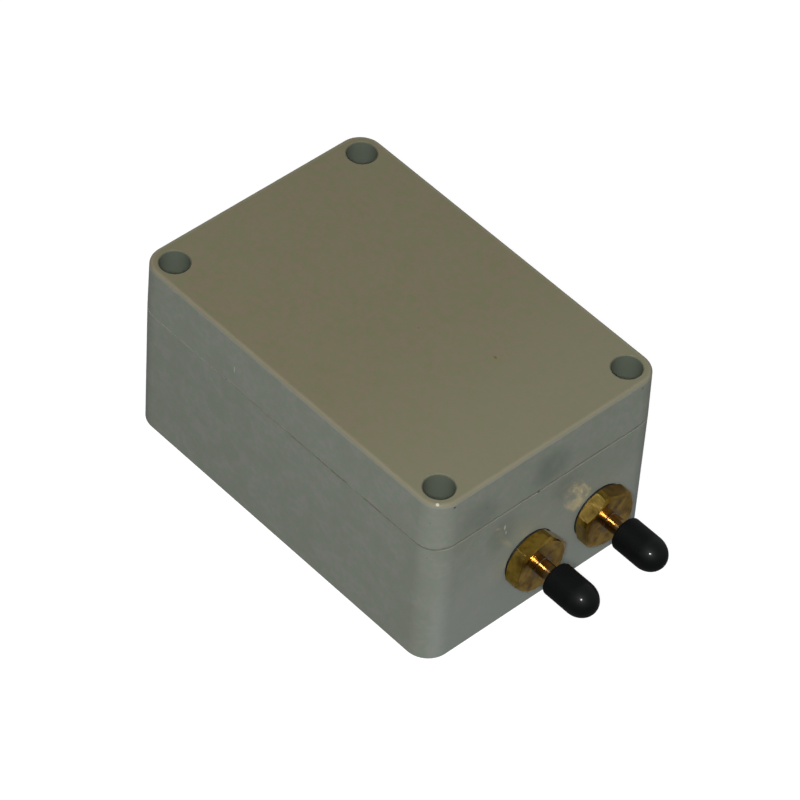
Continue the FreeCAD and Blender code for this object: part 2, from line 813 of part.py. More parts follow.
def trimmer(name, x, y):
    """Square adjuster with a round well, and its slotted rotor that turns in it."""
    body = new_body(f"{name}_trimmer", x, y, BOARD_TOP)
    half = "trimmer_size / 2"
    sketch = sketch_on(body, "XY_Plane")
    rectangle(sketch, f"-{half}", half, f"-{half}", half)
    pad(body, sketch, "trimmer_height")
    fillet(body, "0.4", upright)
    sketch = sketch_on(body, "XY_Plane", "trimmer_height")
    circle(sketch, "0", "0", "rotor_diameter + 0.2")
    pocket(body, sketch, "rotor_height - 0.6")

    rotor = new_body(f"{name}_rotor", x, y, f"{BOARD_TOP} + trimmer_height - rotor_height + 0.65")
    sketch = sketch_on(rotor, "XY_Plane")
    circle(sketch, "0", "0", "rotor_diameter")
    pad(rotor, sketch, "rotor_height")
    sketch = sketch_on(rotor, "XY_Plane", "rotor_height")
    rectangle(sketch, "-4", "rotor_diameter / 2 - 1.2", "-0.45", "0.45")
    pocket(rotor, sketch, "1")


def test_button(x, y):
    """Momentary button: square housing and a plunger that travels down into it."""
    body = new_body("test_button_housing", x, y, BOARD_TOP)
    half = "button_size / 2"
    sketch = sketch_on(body, "XY_Plane")
    rectangle(sketch, f"-{half}", half, f"-{half}", half)
    pad(body, sketch, "button_height")
    fillet(body, "0.4", upright)
    sketch = sketch_on(body, "XY_Plane", "button_height")
    circle(sketch, "0", "0", "plunger_diameter + 0.2")
    pocket(body, sketch, "plunger_travel + 3.3")

    plunger = new_body("test_button_plunger", x, y, f"{BOARD_TOP} + button_height - 3")
    sketch = sketch_on(plunger, "XY_Plane")
    circle(sketch, "0", "0", "plunger_diameter")
    pad(plunger, sketch, "plunger_travel + 5.5")
    top = value("plunger_travel + 5.5")
    chamfer(plunger, "0.4", lambda edge: at_level(edge, 2, top))


def voltage_regulator(x, y):
    """Three-legged regulator standing on its legs, with a drilled metal tab."""
    body = new_body("voltage_regulator", x, y, BOARD_TOP)
    sketch = sketch_on(body, "XY_Plane", "3")
    rectangle(sketch, "-1.8", "2.6", "-5", "5")
    pad(body, sketch, "9")
    sketch = sketch_on(body, "XY_Plane", "3")
    rectangle(sketch, "-2.4", "-1.1", "-5", "5")
    pad(body, sketch, "15")
    sketch = sketch_on(body, "YZ_Plane", "-1.1")
    circle(sketch, "0", "15", "3.6")
    pocket(body, sketch, "1.3")
    sketch = sketch_on(body, "XY_Plane")
    for leg in ("-2.54", "0", "2.54"):
        rectangle(sketch, "-0.3", "0.3", f"{leg} - 0.4", f"{leg} + 0.4")
    pad(body, sketch, "3.5")


def axial_group(label, x, y, angle, count, spacing, length, diameter):
    """Parallel round parts lying just above the board, each on two bent leads."""
    body = new_body(label, x, y, f"{BOARD_TOP} + {diameter} / 2 + 0.3")
    body.Placement.Rotation = FreeCAD.Rotation(V(0, 0, 1), angle)
    rows = [f"{i - (count - 1) / 2} * {spacing}" for i in range(count)]
    sketch = sketch_on(body, "YZ_Plane", f"-({length}) / 2")
    for row_y in rows:
        circle(sketch, row_y, "0", diameter)
    pad(body, sketch, length)
    reach = f"({length} + 3) / 2"
    sketch = sketch_on(body, "XY_Plane", "-0.3")
    for row_y in rows:
        rectangle(sketch, f"-{reach} - 0.3", f"{reach} + 0.3", f"{row_y} - 0.3", f"{row_y} + 0.3")
    pad(body, sketch, "0.6")
    sketch = sketch_on(body, "XY_Plane")
    for row_y in rows:
        for side in (-1, 1):
            x_leg = f"{side} * {reach}"
            rectangle(sketch, f"{x_leg} - 0.3", f"{x_leg} + 0.3", f"{row_y} - 0.3", f"{row_y} + 0.3")
    pad(body, sketch, f"{diameter} / 2 + 0.3", down=True)


def cable_grommet():
    """Blind rubber grommet in the base face, pierced when the wiring comes through."""
    body = new_body("cable_grommet", GROMMET_X)
    flange = "grommet_flange / 2"
    neck = "grommet_hole / 2 - 0.05"
    sketch = sketch_on(body, "XZ_Plane")
    polygon(
        sketch,
        (
            ("0", "1.6"),
            (f"{neck} - 1.4", "1.6"),
            (f"{neck} - 1.4", "0.2"),
            (flange, "0.2"),
            (flange, "grommet_recess"),
            (neck, "grommet_recess"),
            (neck, "floor_thickness"),
            (flange, "floor_thickness"),
            (flange, "floor_thickness + 1.2"),
            (f"{neck} - 1.4", "floor_thickness + 1.2"),
            (f"{neck} - 1.4", "2.3"),
            ("0", "2.3"),
        ),
    )
    revolve(body, sketch, "V_Axis")


# The assembly
base_housing()
lid()
lid_gasket()
lid_screws()
screw_retainers()
threaded_inserts()

nipple("nipple_left", NIPPLES[0], "left_turn")
nipple("nipple_right", NIPPLES[1], "right_turn")
rings("nipple_sealing_washers", "0", "seal_thickness", "seal_diameter", "shank_diameter + 0.2")
rings("nipple_plain_washers", "-wall - washer_thickness", "washer_thickness",
      "washer_diameter", "shank_diameter + 0.2")
lock_nuts()
dust_cap("dust_cap_left", NIPPLES[0])
dust_cap("dust_cap_right", NIPPLES[1])

rings("air_hoses", "-hose_end", "hose_end - hose_start", "hose_diameter", "hose_bore")
air_switch("air_switch_left", NIPPLES[0])
air_switch("air_switch_right", NIPPLES[1])
microswitch("microswitch_left", NIPPLES[0])
microswitch("microswitch_right", NIPPLES[1])

circuit_board()
board_screws()
terminal_block()
terminal_screws()
block("output_relay", f"{BOARD_MIDDLE} - 16", "-16", BOARD_TOP, "19", "15.4", "15.6")
chip_and_socket()
trimmer("open_delay", f"{BOARD_MIDDLE} + 4", "-20")
trimmer("close_delay", f"{BOARD_MIDDLE} + 16", "-20")
test_button(f"{BOARD_MIDDLE} + 26.5", "-20")
drum("status_light", f"{BOARD_MIDDLE} + 34", "-12", BOARD_TOP, "3", "5", "0.8")
drum("reservoir_capacitor", f"{BOARD_MIDDLE} - 17", "17", BOARD_TOP, "10", "16", "0.6")
drum("timing_capacitor", f"{BOARD_MIDDLE} - 6", "18", BOARD_TOP, "6.3", "11", "0.4")
voltage_regulator(f"{BOARD_MIDDLE} - 23", "1.5")
axial_group("resistors", f"{BOARD_MIDDLE} + 3", "18", 90, 3, "3.2", "6.3", "2.3")
axial_group("rectifier_diodes", f"{BOARD_MIDDLE} - 27", "19", 90, 2, "4", "5", "2.7")
cable_grommet()

# Checks before anything is written
doc.recompute()
for item in doc.Objects:
    if "Invalid" in item.State or "Error" in item.State:
        raise RuntimeError(f"{item.Label} did not compute: {item.State}")
for item in exported:
    if item.Shape.isNull() or not item.Shape.isValid():
        raise RuntimeError(f"{item.Label} has no valid shape")

os.makedirs("parts", exist_ok=True)
for item in exported:
    item.Shape.exportStep(os.path.join("parts", f"{item.Label}.step"))
    print(f"{item.Label}: {len(item.Shape.Solids)} solid(s), {item.Shape.Volume:.1f} mm3")
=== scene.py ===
import math

import bmesh
import bpy
from mathutils import Matrix, Vector


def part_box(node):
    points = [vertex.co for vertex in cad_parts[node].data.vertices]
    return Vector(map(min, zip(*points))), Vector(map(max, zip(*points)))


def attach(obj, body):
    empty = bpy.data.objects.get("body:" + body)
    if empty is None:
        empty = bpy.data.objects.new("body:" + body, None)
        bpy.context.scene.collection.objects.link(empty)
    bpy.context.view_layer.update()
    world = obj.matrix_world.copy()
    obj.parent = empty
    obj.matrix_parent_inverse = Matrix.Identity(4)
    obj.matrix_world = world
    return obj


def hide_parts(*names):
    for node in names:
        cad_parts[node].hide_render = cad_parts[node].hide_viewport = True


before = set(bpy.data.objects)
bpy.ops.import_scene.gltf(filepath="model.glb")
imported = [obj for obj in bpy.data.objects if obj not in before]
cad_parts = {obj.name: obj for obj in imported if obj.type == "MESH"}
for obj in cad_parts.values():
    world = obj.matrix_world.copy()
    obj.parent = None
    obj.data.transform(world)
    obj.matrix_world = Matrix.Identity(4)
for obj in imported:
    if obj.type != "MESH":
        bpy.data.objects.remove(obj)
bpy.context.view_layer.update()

MM = 0.001
X = Vector((1, 0, 0))
Y = Vector((0, 1, 0))
Z = Vector((0, 0, 1))

# Where the photograph was taken from, in degrees and millimetres
AZIMUTH = 44.77
ELEVATION = 46.53
ROLL = 4.33
DISTANCE = 1259.6
AIM_HEIGHT = 60.0
AIM_RIGHT = 0.2
AIM_DOWN = 22.87
FOCAL_LENGTH = 212.76
SENSOR_WIDTH = 36.0

# Light: a pale room, brighter behind the object, and one lamp beside the camera; sizes in metres,
# the lamp's offsets in millimetres
STAGE_RADIUS = 30.0
FLOOR_GAP = 0.0002
ROOM_FRONT = 0.22
ROOM_BACK = 0.62
ROOM_BELOW = 0.45
LAMP_POWER = 18.5
LAMP_SIZE = 0.16
LAMP_LEFT = 10.0
LAMP_DOWN = 10.0

SIDES = {"left": "nipple_left", "right": "nipple_right"}

# Case, in millimetres: corners, height of the parting line, screw bores and the screws' heads
CORNER_RADIUS = 7.2
PARTING = 43.2
BORE_RADIUS = 4.35
LID_SCREW_HEAD = 3.8

# Dust caps: bore radius, crown thickness, lip radius, and the nose's length against its radius
CAP_BORE = 2.53
CAP_CROWN = 1.8
CAP_LIP = 0.9
CAP_NOSE = 1.16


# Sizes read from the frame, in millimetres


def span(node, axis):
    """Lowest and highest coordinate of a CAD node along an axis, 0 to 2."""
    low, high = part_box(node)
    return low[axis] / MM, high[axis] / MM


def middle(node):
    """The middle of a CAD node's box."""
    return Vector([sum(span(node, axis)) / 2 for axis in range(3)])


def half_width(node):
    """Half a CAD node's width along X: the radius of a round one."""
    low, high = span(node, 0)
    return (high - low) / 2


def linear(value):
    """One sRGB channel, 0 to 255, as a linear value."""
    share = value / 255
    if share <= 0.04045:
        return share / 12.92
    return ((share + 0.055) / 1.055) ** 2.4


def shade(red, green, blue):
    """A colour given as it looks on screen."""
    return (linear(red), linear(green), linear(blue), 1.0)


END_WALL = span("base_housing", 0)[1]
SIDE_WALL = span("base_housing", 1)[1]
CASE_TOP = span("lid", 2)[1]
FITTING_Y = [middle(node).y for node in SIDES.values()]
FITTING_PITCH = FITTING_Y[1] - FITTING_Y[0]
FITTING_Z = middle("nipple_left").z
BOARD_TOP = span("circuit_board", 2)[1]
SCREW_PLACE = Vector(span("lid_screws", axis)[1] - LID_SCREW_HEAD for axis in (0, 1))


# Materials


def feed(slot, item):
    """Link a wire to a node's slot, or set the slot's own value."""
    if isinstance(item, Wire):
        slot.id_data.links.new(item.socket, slot)
    else:
        slot.default_value = item


def add_node(tree, kind, output, inputs=None, **settings):
    """A new node of any kind, fed with wires or plain values; gives one of its outputs."""
    node = tree.nodes.new(kind)
    for name, setting in settings.items():
        setattr(node, name, setting)
    for name, item in (inputs or {}).items():
        feed(node.inputs[name], item)
    return Wire(node.outputs[output])


class Wire:
    """A value in a node tree; arithmetic on it adds Math nodes."""

    def __init__(self, socket):
        self.socket = socket

    def math(self, operation, *others):
        """The result of one Math node, of this value and others."""
        inputs = dict(enumerate((self, *others)))
        return add_node(self.socket.id_data, "ShaderNodeMath", 0, inputs, operation=operation)

    def __add__(self, other):
        return self.math("ADD", other)

    def __sub__(self, other):
        return self.math("SUBTRACT", other)

    def __rsub__(self, other):
        return self * -1.0 + other

    def __mul__(self, other):
        return self.math("MULTIPLY", other)

    def __gt__(self, other):
        return self.math("GREATER_THAN", other)

    def __lt__(self, other):
        return self.math("LESS_THAN", other)

    def __abs__(self):
        return self.math("ABSOLUTE")

    __radd__ = __add__
    __rmul__ = __mul__


class Finish:
    """One procedural material; its patterns lie on object coordinates, in millimetres."""

    def __init__(self, name, **fixed):
        self.material = bpy.data.materials.new(name)
        self.material.use_nodes = True
        self.tree = self.material.node_tree
        self.shader = self.tree.nodes["Principled BSDF"]
        for slot, setting in fixed.items():
            self.give(slot.replace("_", " "), setting)
        metres = self.node("ShaderNodeTexCoord", "Object")
        self.place = self.vector("SCALE", {0: metres, "Scale": 1 / MM})

    def give(self, slot, item):
        """Feed one slot of the surface shader."""
        feed(self.shader.inputs[slot], item)

    def node(self, kind, output, inputs=None, **settings):
        """A new node of this material."""
        return add_node(self.tree, kind, output, inputs, **settings)

    def vector(self, operation, inputs, output=0):
        """One output of a Vector Math node."""
        return self.node("ShaderNodeVectorMath", output, inputs, operation=operation)

    def noise(self, grain, detail=3.0, stretch=(1, 1, 1), place=None):
        """Soft noise from 0 to 1, whose blotches are about grain millimetres across."""
        stretched = self.vector("MULTIPLY", {0: place or self.place, 1: stretch})
        inputs = {"Vector": stretched, "Scale": 1 / grain, "Detail": detail}
        return self.node("ShaderNodeTexNoise", "Fac", inputs)

    def bands(self, distance, grain):
        """Noise that changes along one measure only, such as turning marks."""
        line = self.node("ShaderNodeCombineXYZ", 0, {"X": distance})
        return self.noise(grain, 2.0, place=line)

    def specks(self, spacing, size, share):
        """Small round marks: 1 inside, spaced and sized in millimetres, in a share of the cells."""
        inputs = {"Vector": self.place, "Scale": 1 / spacing}
        distance = self.node("ShaderNodeTexVoronoi", "Distance", inputs)
        colour = self.node("ShaderNodeTexVoronoi", "Color", inputs)
        chance = self.node("ShaderNodeSeparateColor", 0, {0: colour})
        return self.ramp(distance, size / spacing, 0.6 * size / spacing) * (chance < share)

    def near(self, centre, reach, core=0.5):
        """1 at a point, falling to 0 at reach on each axis; core is the share that stays 1."""
        offset = self.vector("SUBTRACT", {0: self.place, 1: centre})
        offset = self.vector("MULTIPLY", {0: offset, 1: tuple(1 / number for number in reach)})
        return self.ramp(self.vector("LENGTH", {0: offset}, "Value"), 1.0, core)

    def axis(self, name):
        """One object coordinate."""
        return self.node("ShaderNodeSeparateXYZ", name, {0: self.place})

    def facing(self, name):
        """The surface normal's share along one axis."""
        normal = self.node("ShaderNodeTexCoord", "Normal")
        return self.node("ShaderNodeSeparateXYZ", name, {0: normal})

    def ramp(self, wire, low, high):
        """0 at low and 1 at high, smooth between them."""
        inputs = {"Value": wire, "From Min": low, "From Max": high}
        return self.node("ShaderNodeMapRange", 0, inputs, interpolation_type="SMOOTHSTEP")

    def band(self, wire, low, high, soft):
        """1 between low and high, with soft ends."""
        return self.ramp(wire, low - soft, low + soft) * self.ramp(wire, high + soft, high - soft)

    def blend(self, factor, first, second):
        """A colour between two colours."""
        inputs = {0: factor, 6: first, 7: second}
        return self.node("ShaderNodeMix", 2, inputs, data_type="RGBA", clamp_factor=True)

    def distance(self, *offsets):
        """The length of the offsets taken together."""
        total = sum(offset * offset for offset in offsets)
        return total.math("SQRT")

    def outside(self, node):
        """How far a place on the board lies outside a part's outline, in millimetres."""
        centre = middle(node)
        reaches = []
        for i, name in enumerate("XY"):
            low, high = span(node, i)
            reaches.append(abs(self.axis(name) - centre[i]) - (high - low) / 2)
        return reaches[0].math("MAXIMUM", reaches[1])

    def bump(self, height, depth):
        """Relief whose height, 0 to 1, stands for depth millimetres."""
        inputs = {"Height": height, "Distance": depth * MM, "Strength": 1.0}
        self.give("Normal", self.node("ShaderNodeBump", 0, inputs))


def mottled(name, first, second, roughness, grain=6.0, depth=0.02, **fixed):
    """A finish between two near colours, in soft blotches, with a fine even relief."""
    finish = Finish(name, **fixed)
    blotches = finish.ramp(finish.noise(grain), 0.35, 0.65)
    finish.give("Base Color", finish.blend(blotches, shade(*first), shade(*second)))
    finish.give("Roughness", finish.noise(grain / 3) * 0.12 + (roughness - 0.06))
    finish.bump(finish.noise(grain / 8), depth)
    return finish.material


# Dirt, scuffs and worn spots on the case, and painted highlights: centre, reach, strength and colour
MARKS_AND_HIGHLIGHTS = (
    ((60.0, -34.5, 58.5), (1.0, 0.6, 0.5), 0.9, (58, 56, 42)),
    ((60.0, 33.0, 58.0), (1.0, 0.5, 0.4), 0.7, (60, 58, 48)),
    ((28.0, 9.0, 60.0), (0.7, 0.45, 0.5), 0.9, (92, 72, 48)),
    ((-19.7, -40.7, 49.5), (0.25, 0.6, 1.6), 0.7, (165, 168, 158)),
    ((60.0, -3.6, 43.3), (1.0, 0.6, 0.5), 0.8, (60, 52, 50)),
    ((60.0, -22.4, 50.1), (1.0, 0.5, 0.4), 0.5, (84, 80, 72)),
    # Painted pale reflection beside the left fitting, in two streaks
    ((60.0, -15.2, 37.4), (1.0, 0.3, 1.2), 0.7, (196, 190, 172)),
    ((60.0, -14.6, 35.0), (1.0, 0.25, 0.8), 0.6, (190, 190, 178)),
    # Painted highlight: a glint on the lid's rim at the front corner
    ((57.0, -38.2, 60.0), (0.6, 0.6, 0.6), 0.5, (204, 206, 190)),
)

# Painted dark reflections of the fittings on the end wall: centre, reach and strength
FITTING_REFLECTIONS = (
    ((60.0, 0.5, 50.0), (3.0, 11.0, 9.0), 0.55),
    ((60.0, 7.0, 38.0), (3.0, 7.0, 8.0), 0.4),
    ((60.0, -25.0, 48.5), (3.0, 10.0, 8.0), 0.4),
    ((60.0, -16.0, 36.0), (3.0, 7.0, 9.0), 0.4),
)

# Where the end wall is duller: centre and reach
DULL_PATCH = ((60.0, 11.5, 30.5), (2.0, 9.0, 13.0))


def case_plastic():
    """Light grey moulded plastic with dust and scuffs; painted light: a warmer lid top, a rim highlight,
    shade and reflections.
    """
    finish = Finish("case_plastic", Specular_IOR_Level=0.1)
    height = finish.axis("Z")
    upward = finish.facing("Z")
    endward = finish.facing("X")
    x = abs(finish.axis("X"))
    y = abs(finish.axis("Y"))
    # How far a place lies inside the case's outline, and how far from the nearest screw bore
    past_x = (x - (END_WALL - CORNER_RADIUS)).math("MAXIMUM", 0.0)
    past_y = (y - (SIDE_WALL - CORNER_RADIUS)).math("MAXIMUM", 0.0)
    margin = CORNER_RADIUS - finish.distance(past_x, past_y)
    from_bore = finish.distance(x - SCREW_PLACE.x, y - SCREW_PLACE.y)
    on_lid = finish.ramp(height, CASE_TOP - 3.0, CASE_TOP - 1.4)
    top = finish.ramp(upward, 0.25, 0.65) * on_lid
    # Painted highlight: a pale band along the lid's rounded rim, broken up by noise
    highlight_breakup = finish.noise(7, 2.0) * 0.5 + 0.5
    rim = finish.ramp(margin, 1.9, 0.9) * finish.ramp(upward, 0.2, 0.5) * on_lid * highlight_breakup
    # Painted shade inside the screw bores, which are also made rougher
    bore_shade = finish.ramp(from_bore, BORE_RADIUS + 0.35, BORE_RADIUS) * (height > PARTING)
    tint = finish.ramp(finish.noise(1.6, 4.0), 0.3, 0.7)
    cloud = finish.ramp(finish.noise(7), 0.35, 0.65)
    sides = finish.blend(tint, shade(115, 125, 112), shade(127, 126, 120))
    sides = finish.blend(cloud * 0.6, sides, shade(115, 120, 109))
    # The lid's top is painted warmer and yellower than the sides: painted warm light from above
    lid = finish.blend(tint, shade(96, 97, 72), shade(105, 95, 79))
    lid = finish.blend(cloud * 0.5, lid, shade(101, 98, 77))
    at_end = finish.ramp(endward, 0.6, 0.95)
    # Painted light: the end wall lighter and bluer towards the bottom
    painted_light_low_on_end = at_end * finish.ramp(height, 45.0, 8.0)
    sides = finish.blend(painted_light_low_on_end * 0.6, sides, shade(133, 139, 134))
    # Painted light: the lid's top lighter towards the end that carries the fittings
    painted_light_toward_end = finish.ramp(finish.axis("X"), 0.0, 60.0)
    lid = finish.blend(painted_light_toward_end * 0.6, lid, shade(106, 105, 86))
    colour = finish.blend(top, sides, lid)
    colour = finish.blend(rim * 0.7, colour, shade(119, 115, 99))
    colour = finish.blend(bore_shade * 0.85, colour, shade(76, 82, 70))
    # Parting line: a dark joint on the long sides, fading towards -X; on the end wall a painted highlight
    # along its lip and a painted shadow just above it
    at_seam = finish.band(height, PARTING - 0.22, PARTING + 0.1, 0.12) * (margin < 1.0)
    worn = finish.ramp(finish.noise(3, 2.0), 0.35, 0.6)
    fading = finish.ramp(finish.axis("X"), -50.0, 20.0)
    seam = finish.blend(fading, shade(122, 124, 114), shade(98, 97, 84))
    seam = finish.blend(at_end, seam, shade(158, 160, 150))
    colour = finish.blend(at_seam * (worn * 0.5 + 0.4), colour, seam)
    shadow = finish.band(height, PARTING + 0.25, PARTING + 0.9, 0.2) * (margin < 1.0) * at_end
    colour = finish.blend(shadow * (0.55 - worn * 0.35), colour, shade(76, 78, 70))
    dust = finish.specks(7, 0.28, 0.06) * 0.45
    colour = finish.blend(dust, colour, shade(62, 56, 42))
    # Painted dark reflections of the fittings on the end wall, broken up by noise
    patchy = finish.ramp(finish.noise(5, 2.0), 0.3, 0.55) * 0.3 + 0.7
    for centre, reach, strength in FITTING_REFLECTIONS:
        dark_reflection = finish.near(centre, reach, 0.2) * patchy * strength
        colour = finish.blend(dark_reflection, colour, shade(86, 96, 88))
    for centre, reach, strength, tone in MARKS_AND_HIGHLIGHTS:
        colour = finish.blend(finish.near(centre, reach) * strength, colour, shade(*tone))
    finish.give("Base Color", colour)
    gloss = finish.noise(3, 4.0) * 0.1 + 0.27 + top * 0.16 + bore_shade * 0.25 - rim * 0.15
    dull = finish.ramp(finish.noise(4.5, 3.0), 0.5, 0.64)
    dull = dull * finish.near(*DULL_PATCH)
    finish.give("Roughness", gloss + dull * 0.35)
    finish.bump(finish.noise(0.5, 2.0) * 0.5 + finish.noise(5, 1.0), 0.012)
    return finish.material


def brass():
    """Turned brass: gold where it is rubbed, brown and olive where it is tarnished, with tool marks, and
    painted shade and dark reflection on some facets.
    """
    finish = Finish("brass", Metallic=1.0, Coat_Roughness=0.16)
    offset = abs(finish.axis("Y") - sum(FITTING_Y) / 2) - FITTING_PITCH / 2
    lift = finish.axis("Z") - FITTING_Z
    radius = finish.distance(offset, lift)
    rings = finish.bands(radius + finish.axis("X") * 0.9, 0.35)
    cloud = finish.ramp(finish.noise(4.5, 4.0), 0.4, 0.62)
    gold = finish.blend(cloud, shade(208, 170, 80), shade(176, 138, 58))
    olive = finish.ramp(finish.noise(3.4, 3.0), 0.5, 0.68) * 0.6
    gold = finish.blend(olive, gold, shade(138, 116, 56))
    stained = finish.ramp(finish.noise(3.6, 3.0), 0.46, 0.68) * 0.6
    colour = finish.blend(stained, gold, shade(106, 70, 28))
    # Painted dark reflection on the facets that face up and back
    upper_facet_reflection = finish.ramp(finish.facing("Z"), 0.8, 0.9) * finish.ramp(finish.facing("Y"), 0.1, 0.3)
    colour = finish.blend(upper_facet_reflection * 0.65, colour, shade(120, 84, 42))
    # Painted shade on the facets that face up and to the front, towards the lamp
    front_facet_shade = finish.ramp(finish.facing("Z"), 0.7, 0.76) * finish.ramp(finish.facing("Y"), -0.45, -0.6)
    colour = finish.blend(front_facet_shade * 0.75, colour, shade(128, 108, 58))
    root = finish.ramp(radius, 4.4, 2.7)
    colour = finish.blend(root * 0.8, colour, shade(112, 82, 46))
    finish.give("Base Color", colour)
    finish.give("Coat Weight", root * 0.8)
    finish.give("Roughness", finish.noise(3, 4.0) * 0.16 + rings * 0.08 + 0.11)
    finish.bump(finish.noise(1.2, 3.0) + rings * 0.35, 0.012)
    return finish.material


def black_vinyl():
    """Dipped black vinyl: nearly black, smooth, with faint orange peel and a little dust."""
    finish = Finish("black_vinyl", Specular_IOR_Level=0.08, Coat_Roughness=0.13)
    colour = finish.blend(finish.noise(3), shade(6, 8, 8), shade(11, 13, 12))
    colour = finish.blend(finish.specks(2.5, 0.12, 0.2) * 0.4, colour, shade(60, 62, 60))
    finish.give("Base Color", colour)
    low, high = span("dust_cap_left", 1)
    nose = span("dust_cap_left", 0)[1] - CAP_NOSE * (high - low) / 2
    rubbed = finish.ramp(finish.axis("X"), nose - 1, nose + 1)
    finish.give("Coat Weight", rubbed * 0.14)
    finish.give("Roughness", finish.noise(2) * 0.14 + 0.44)
    finish.bump(finish.noise(1.0, 2.0), 0.01)
    return finish.material


# Parts with a white outline printed round them on the board
PRINTED = ("terminal_block", "output_relay", "chip_socket", "reservoir_capacitor", "timing_capacitor",
           "voltage_regulator", "open_delay_trimmer", "close_delay_trimmer", "test_button_housing",
           "status_light")


def circuit_board():
    """Green solder mask over faint copper tracks, white part outlines, bare laminate edges."""
    finish = Finish("circuit_board")
    along = (finish.axis("Y") * 0.42).math("FRACT") < 0.3
    across = (finish.axis("X") * 0.42).math("FRACT") < 0.3
    along = along * (finish.noise(10, 0.0, (0.5, 1.6, 1)) > 0.52)
    across = across * (finish.noise(10, 0.0, (1.6, 0.5, 1)) < 0.47)
    copper = along.math("MAXIMUM", across)
    mask = finish.blend(copper * 0.6, shade(16, 82, 46), shade(38, 112, 66))
    printed = 0.0
    for node in PRINTED:
        printed = finish.band(finish.outside(node), 0.35, 0.55, 0.04) + printed
    colour = finish.blend(printed.math("MINIMUM", 1.0) * 0.85, mask, shade(214, 216, 206))
    edge = abs(finish.facing("Z")) < 0.5
    finish.give("Base Color", finish.blend(edge, colour, shade(150, 148, 104)))
    finish.give("Roughness", finish.noise(6) * 0.1 + edge * 0.35 + 0.24)
    finish.bump(copper, 0.03)
    return finish.material


TIN = (176, 176, 174)

# Half the length of a resistor's and of a diode's body
RESISTOR_REACH = 3.25
DIODE_REACH = 2.6

# Painted bands: place along the body, and its colour on the two kinds of the part
DIODE_BANDS = ((1.7, (186, 188, 190), (186, 188, 190)),)
RESISTOR_BANDS = ((-1.9, (90, 52, 30), (150, 30, 26)), (-0.9, (26, 26, 26), (110, 60, 32)),
                  (0.1, (196, 96, 24), (30, 30, 30)), (1.9, (170, 132, 48), (170, 132, 48)))


def leaded(name, node, body_reach, first, second, bands):
    """A lacquered body along Y with painted bands, and tinned leads beyond its ends."""
    finish = Finish(name)
    centre = middle(node)
    along = finish.axis("Y") - centre.y
    second_kind = finish.axis("X") > centre.x - 1.0
    colour = finish.blend(finish.noise(2), shade(*first), shade(*second))
    for place, tone, other_tone in bands:
        painted = finish.blend(second_kind, shade(*tone), shade(*other_tone))
        colour = finish.blend(finish.band(along, place - 0.28, place + 0.28, 0.05), colour, painted)
    lead = finish.ramp(abs(along), body_reach, body_reach + 0.1)
    finish.give("Base Color", finish.blend(lead, colour, shade(*TIN)))
    finish.give("Metallic", lead)
    finish.give("Roughness", finish.noise(1.5) * 0.15 + 0.28)
    finish.bump(finish.noise(0.8), 0.01)
    return finish.material


def capacitor_sleeve(node):
    """Shrunk sleeve with a pale stripe, round a bare aluminium top with a pressed cross."""
    finish = Finish(node)
    centre = middle(node)
    radius = half_width(node)
    top = span(node, 2)[1]
    x = finish.axis("X") - centre.x
    y = finish.axis("Y") - centre.y
    sleeve = finish.blend(finish.noise(4), shade(22, 26, 46), shade(30, 35, 58))
    stripe = finish.band(x, -radius * 0.3, radius * 0.3, 0.1) * (y < 0.0)
    dash = (finish.axis("Z") * 0.28).math("FRACT")
    sign = finish.band(dash, 0.3, 0.75, 0.03) * finish.band(x, -0.3, 0.3, 0.08)
    stripe_colour = finish.blend(sign, shade(176, 180, 190), shade(30, 35, 58))
    colour = finish.blend(stripe, sleeve, stripe_colour)
    bare = finish.ramp(finish.distance(x, y), radius - 0.75, radius - 0.95)
    bare = bare * (finish.axis("Z") > top - 1.0)
    finish.give("Base Color", finish.blend(bare, colour, shade(*TIN)))
    finish.give("Metallic", bare)
    finish.give("Roughness", finish.noise(2) * 0.14 + 0.22)
    cross = finish.ramp(abs(x).math("MINIMUM", abs(y)), 0.24, 0.12)
    finish.bump(finish.noise(1.5) * 0.1 - cross * bare, 0.12)
    return finish.material


CHIP_BODY = 6.4


def chip_black():
    """Dark moulded resin with a pin mark, on tinned legs."""
    finish = Finish("chip_black")
    low, high = span("timer_chip", 1)
    along = abs(finish.axis("Y") - (low + high) / 2)
    legs = finish.ramp(along, CHIP_BODY / 2, CHIP_BODY / 2 + 0.1)
    end = span("timer_chip", 0)[0]
    pin_mark = finish.distance(finish.axis("X") - (end + 1.8), finish.axis("Y") - (low + 1.9))
    mark = finish.ramp(pin_mark, 0.5, 0.42) * (finish.facing("Z") > 0.9)
    resin = finish.blend(finish.noise(1.2), shade(30, 30, 32), shade(40, 40, 42))
    resin = finish.blend(mark * 0.6, resin, shade(88, 88, 86))
    finish.give("Base Color", finish.blend(legs, resin, shade(*TIN)))
    finish.give("Metallic", legs)
    finish.give("Roughness", finish.noise(2) * 0.1 + 0.5 - legs * 0.2)
    finish.bump(finish.noise(0.25) * 0.4 - mark, 0.05)
    return finish.material


def regulator():
    """Black resin body on a tinned mounting tab, with tinned legs below."""
    finish = Finish("voltage_regulator")
    low = span("voltage_regulator", 0)[0]
    legs = finish.axis("Z") < BOARD_TOP + 3.0
    tab = (finish.axis("X") < low + 1.35).math("MAXIMUM", legs)
    resin = finish.blend(finish.noise(1.2), shade(28, 28, 30), shade(38, 38, 40))
    finish.give("Base Color", finish.blend(tab, resin, shade(*TIN)))
    finish.give("Metallic", tab)
    finish.give("Roughness", finish.noise(3) * 0.15 + 0.45 - tab * 0.15)
    finish.bump(finish.noise(0.3), 0.02)
    return finish.material


